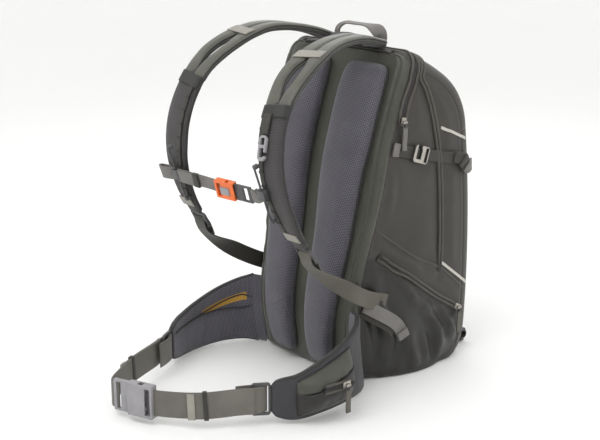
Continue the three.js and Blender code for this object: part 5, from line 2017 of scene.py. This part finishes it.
        middle = (at(24, 5) + before) / 2 + [s * 7, -5, -1]
        line = Line([at(-8, -3.4), at(-1, 1), at(8, 5), at(24, 5), middle, before, end])
        share = np.linspace(0, 1, 80)
        web = solid("web", swept(line, share, UP, strap_section(self.web, 2.2)), BELT_WEBBING)
        tail_share = np.linspace(0.12, 0.66, 50)
        tail = swept(line, tail_share, UP, strap_section(self.web - 0.6, 2.0), -s * 2.7)
        fold = swept(line, np.linspace(0.60, 0.66, 8), UP, strap_section(self.web - 0.4, 2.0), -s * 5.0)
        keeper = swept(line, np.linspace(0.50, 0.535, 5), UP, strap_section(self.web + 3.5, 8.0), -s * 1.6)
        back = Line([at(-8, -3.4), at(4, -6.0), at(20, -5.5), at(34, -3.5)])
        inner = swept(back, np.linspace(0, 1, 16), UP, strap_section(self.web - 0.8, 2.0))
        parts = [
            web,
            solid("tail", tail, BELT_WEBBING),
            solid("fold", fold, PALE_WEBBING),
            grid_object("keeper", keeper, [DARK_WEBBING], closed=True),
            solid("inner", inner, BELT_WEBBING),
        ]
        seat(merged(f"{self.name}_belt_strap", parts), self.body, WEBBING.slot, f"{self.name}_belt_webbing")
        log.info("%s belt webbing is %.0f mm; the buckle is %.0f mm high", self.name, line.length,
                 high[2] - low[2])


@dataclass
class HipBelt:
    """Both wings, the buckle and the hip pocket's zip."""

    bag: Bag
    sewing: Sewing

    def build(self) -> None:
        """Makes them all."""
        left = ((-7.2, -106, 0), (8, -122, 2), (23, -160, 7), (26, -208, 15), (20, -242, 21), (2, -270, 21))
        right = ((-7.2, -106, 0), (8, -122, 2), (19, -155, 7), (19, -200, 15), (10, -236, 21), (-8, -264, 21))
        Wing("left", 1, left, self.bag, self.sewing).build()
        Wing("right", -1, right, self.bag, self.sewing).build()
        refined("belt_buckle_female", PALE_ACETAL, 0.9, "bag")
        refined("belt_buckle_male", PALE_ACETAL, 0.6, "belt_gate")
        self.zip()

    def zip(self) -> None:
        """Makes the hip pocket's zip over its CAD track."""
        low, high = (np.array(corner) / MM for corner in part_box("hip_zip_track"))
        middle = (low + high) / 2
        run = unit(np.array([0.0, low[1] - high[1], high[2] - low[2] - 9.0]))
        points = middle + run * np.linspace(-26, 26, 24)[:, None]
        parts = [ribbon("tape", points - LEFT * 0.3, LEFT, 11.0, TAPE, 1.2)]
        for edge in (1, -1):
            shift = np.cross(LEFT, run) * edge * 5.2
            parts.append(bead("lip", points + shift + LEFT * 0.6, LEFT, 3.4, 2.6, LIT_LIP_CLOTH))
        seat(merged("hip_pocket_zip_tape", parts), "bag", TAPE.slot, "hip_zip_track")
        seat(TOOTH.along("hip_pocket_zip_coil", [(points + LEFT * 0.7, np.tile(LEFT, (24, 1)))]), "bag",
             COIL.slot)


# ---- Studio -----------------------------------------------------------------------------------------


@dataclass
class Studio:
    """A pale floor that curves up into a wall all round, soft lights and the camera."""

    azimuth: float = 50.0
    elevation: float = 16.0
    aim: tuple[float, float, float] = (0.0, -0.120, 0.230)
    distance: float = 1.7
    lens: float = 69.4
    shift: tuple[float, float] = (0.009, 0.0035)

    def away(self, azimuth: float, elevation: float, distance: float) -> Vector:
        """A place seen from the aim at an angle."""
        a, e = math.radians(azimuth), math.radians(elevation)
        back = Vector((math.sin(a) * math.cos(e), -math.cos(a) * math.cos(e), math.sin(e)))
        return Vector(self.aim) + back * distance

    def build(self) -> None:
        """Makes them all."""
        scene = bpy.context.scene
        camera = bpy.data.objects.new("camera", bpy.data.cameras.new("camera"))
        camera.data.lens = self.lens
        camera.data.sensor_width = 36.0
        camera.data.shift_x, camera.data.shift_y = self.shift
        camera.location = self.away(self.azimuth, self.elevation, self.distance)
        aim = Vector(self.aim) - camera.location
        camera.rotation_euler = aim.to_track_quat("-Z", "Y").to_euler()
        scene.collection.objects.link(camera)
        scene.camera = camera
        for name, azimuth, elevation, distance, size, power in (
            ("key_light", 10, 55, 1.7, 1.2, 9.0),
            ("side_light", 110, 40, 1.9, 1.2, 3.5),
            ("rear_light", 215, 45, 1.9, 1.2, 5.0),
        ):
            light = bpy.data.objects.new(name, bpy.data.lights.new(name, "AREA"))
            light.data.size, light.data.energy = size, power
            light.location = self.away(azimuth, elevation, distance)
            toward = Vector(self.aim) - light.location
            light.rotation_euler = toward.to_track_quat("-Z", "Y").to_euler()
            scene.collection.objects.link(light)
        world = bpy.data.worlds.new("studio")
        world.use_nodes = True
        world.node_tree.nodes["Background"].inputs["Color"].default_value = (1, 1, 1, 1)
        world.node_tree.nodes["Background"].inputs["Strength"].default_value = 1.0
        scene.world = world
        scene.view_settings.view_transform = "Standard"
        radius = np.array([0.0, 0.6, 1.2, 1.8, 2.4, 2.8, 3.1, 3.3, 3.42, 3.5, 3.5])
        height = np.array([0.0, 0.0, 0.0, 0.0, 0.0, 0.05, 0.16, 0.36, 0.62, 1.0, 3.6])
        turn = np.linspace(0, 2 * np.pi, 64, endpoint=False)
        points = np.stack(
            [np.outer(radius, f) for f in (np.cos(turn), np.sin(turn))] + [np.outer(height, turn * 0 + 1)], -1
        )
        faces = [
            (j * 64 + k, j * 64 + (k + 1) % 64, (j + 1) * 64 + (k + 1) % 64, (j + 1) * 64 + k)
            for j in range(len(radius) - 1)
            for k in range(64)
        ]
        mesh = bpy.data.meshes.new("floor")
        mesh.from_pydata(points.reshape(-1, 3).tolist(), [], faces)
        mesh.polygons.foreach_set("use_smooth", [True] * len(mesh.polygons))
        floor = bpy.data.objects.new("floor", mesh)
        paper = bpy.data.materials.new("pale_paper")
        paper.use_nodes = True
        shader = paper.node_tree.nodes["Principled BSDF"]
        shader.inputs["Base Color"].default_value = linear("fcfcfb")
        shader.inputs["Roughness"].default_value = 0.9
        mesh.materials.append(paper)
        scene.collection.objects.link(floor)


def dress_frame() -> None:
    """Gives the hidden board, stays and divider their finishes."""
    for node, finish in (
        ("frame_sheet", BOARD),
        ("left_frame_stay", CAST_METAL),
        ("right_frame_stay", CAST_METAL),
        ("compartment_divider", DIVIDER_CLOTH),
    ):
        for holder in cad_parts[node].material_slots:
            holder.material = finish.material()
        log.info("%s is %s", node, finish.name)


def main() -> None:
    """Builds every sub-assembly in order."""
    logging.basicConfig(level=logging.INFO, format="%(message)s")
    Studio().build()
    sewing = Sewing()
    bag = Bag()
    bag.build()
    BackPads(bag).build()
    Closures(bag, sewing).build()
    BagWebbing(bag, sewing).build()
    Harness(bag, sewing).build()
    HipBelt(bag, sewing).build()
    sewing.sew()
    dress_frame()


if __name__ == "__main__":
    main()
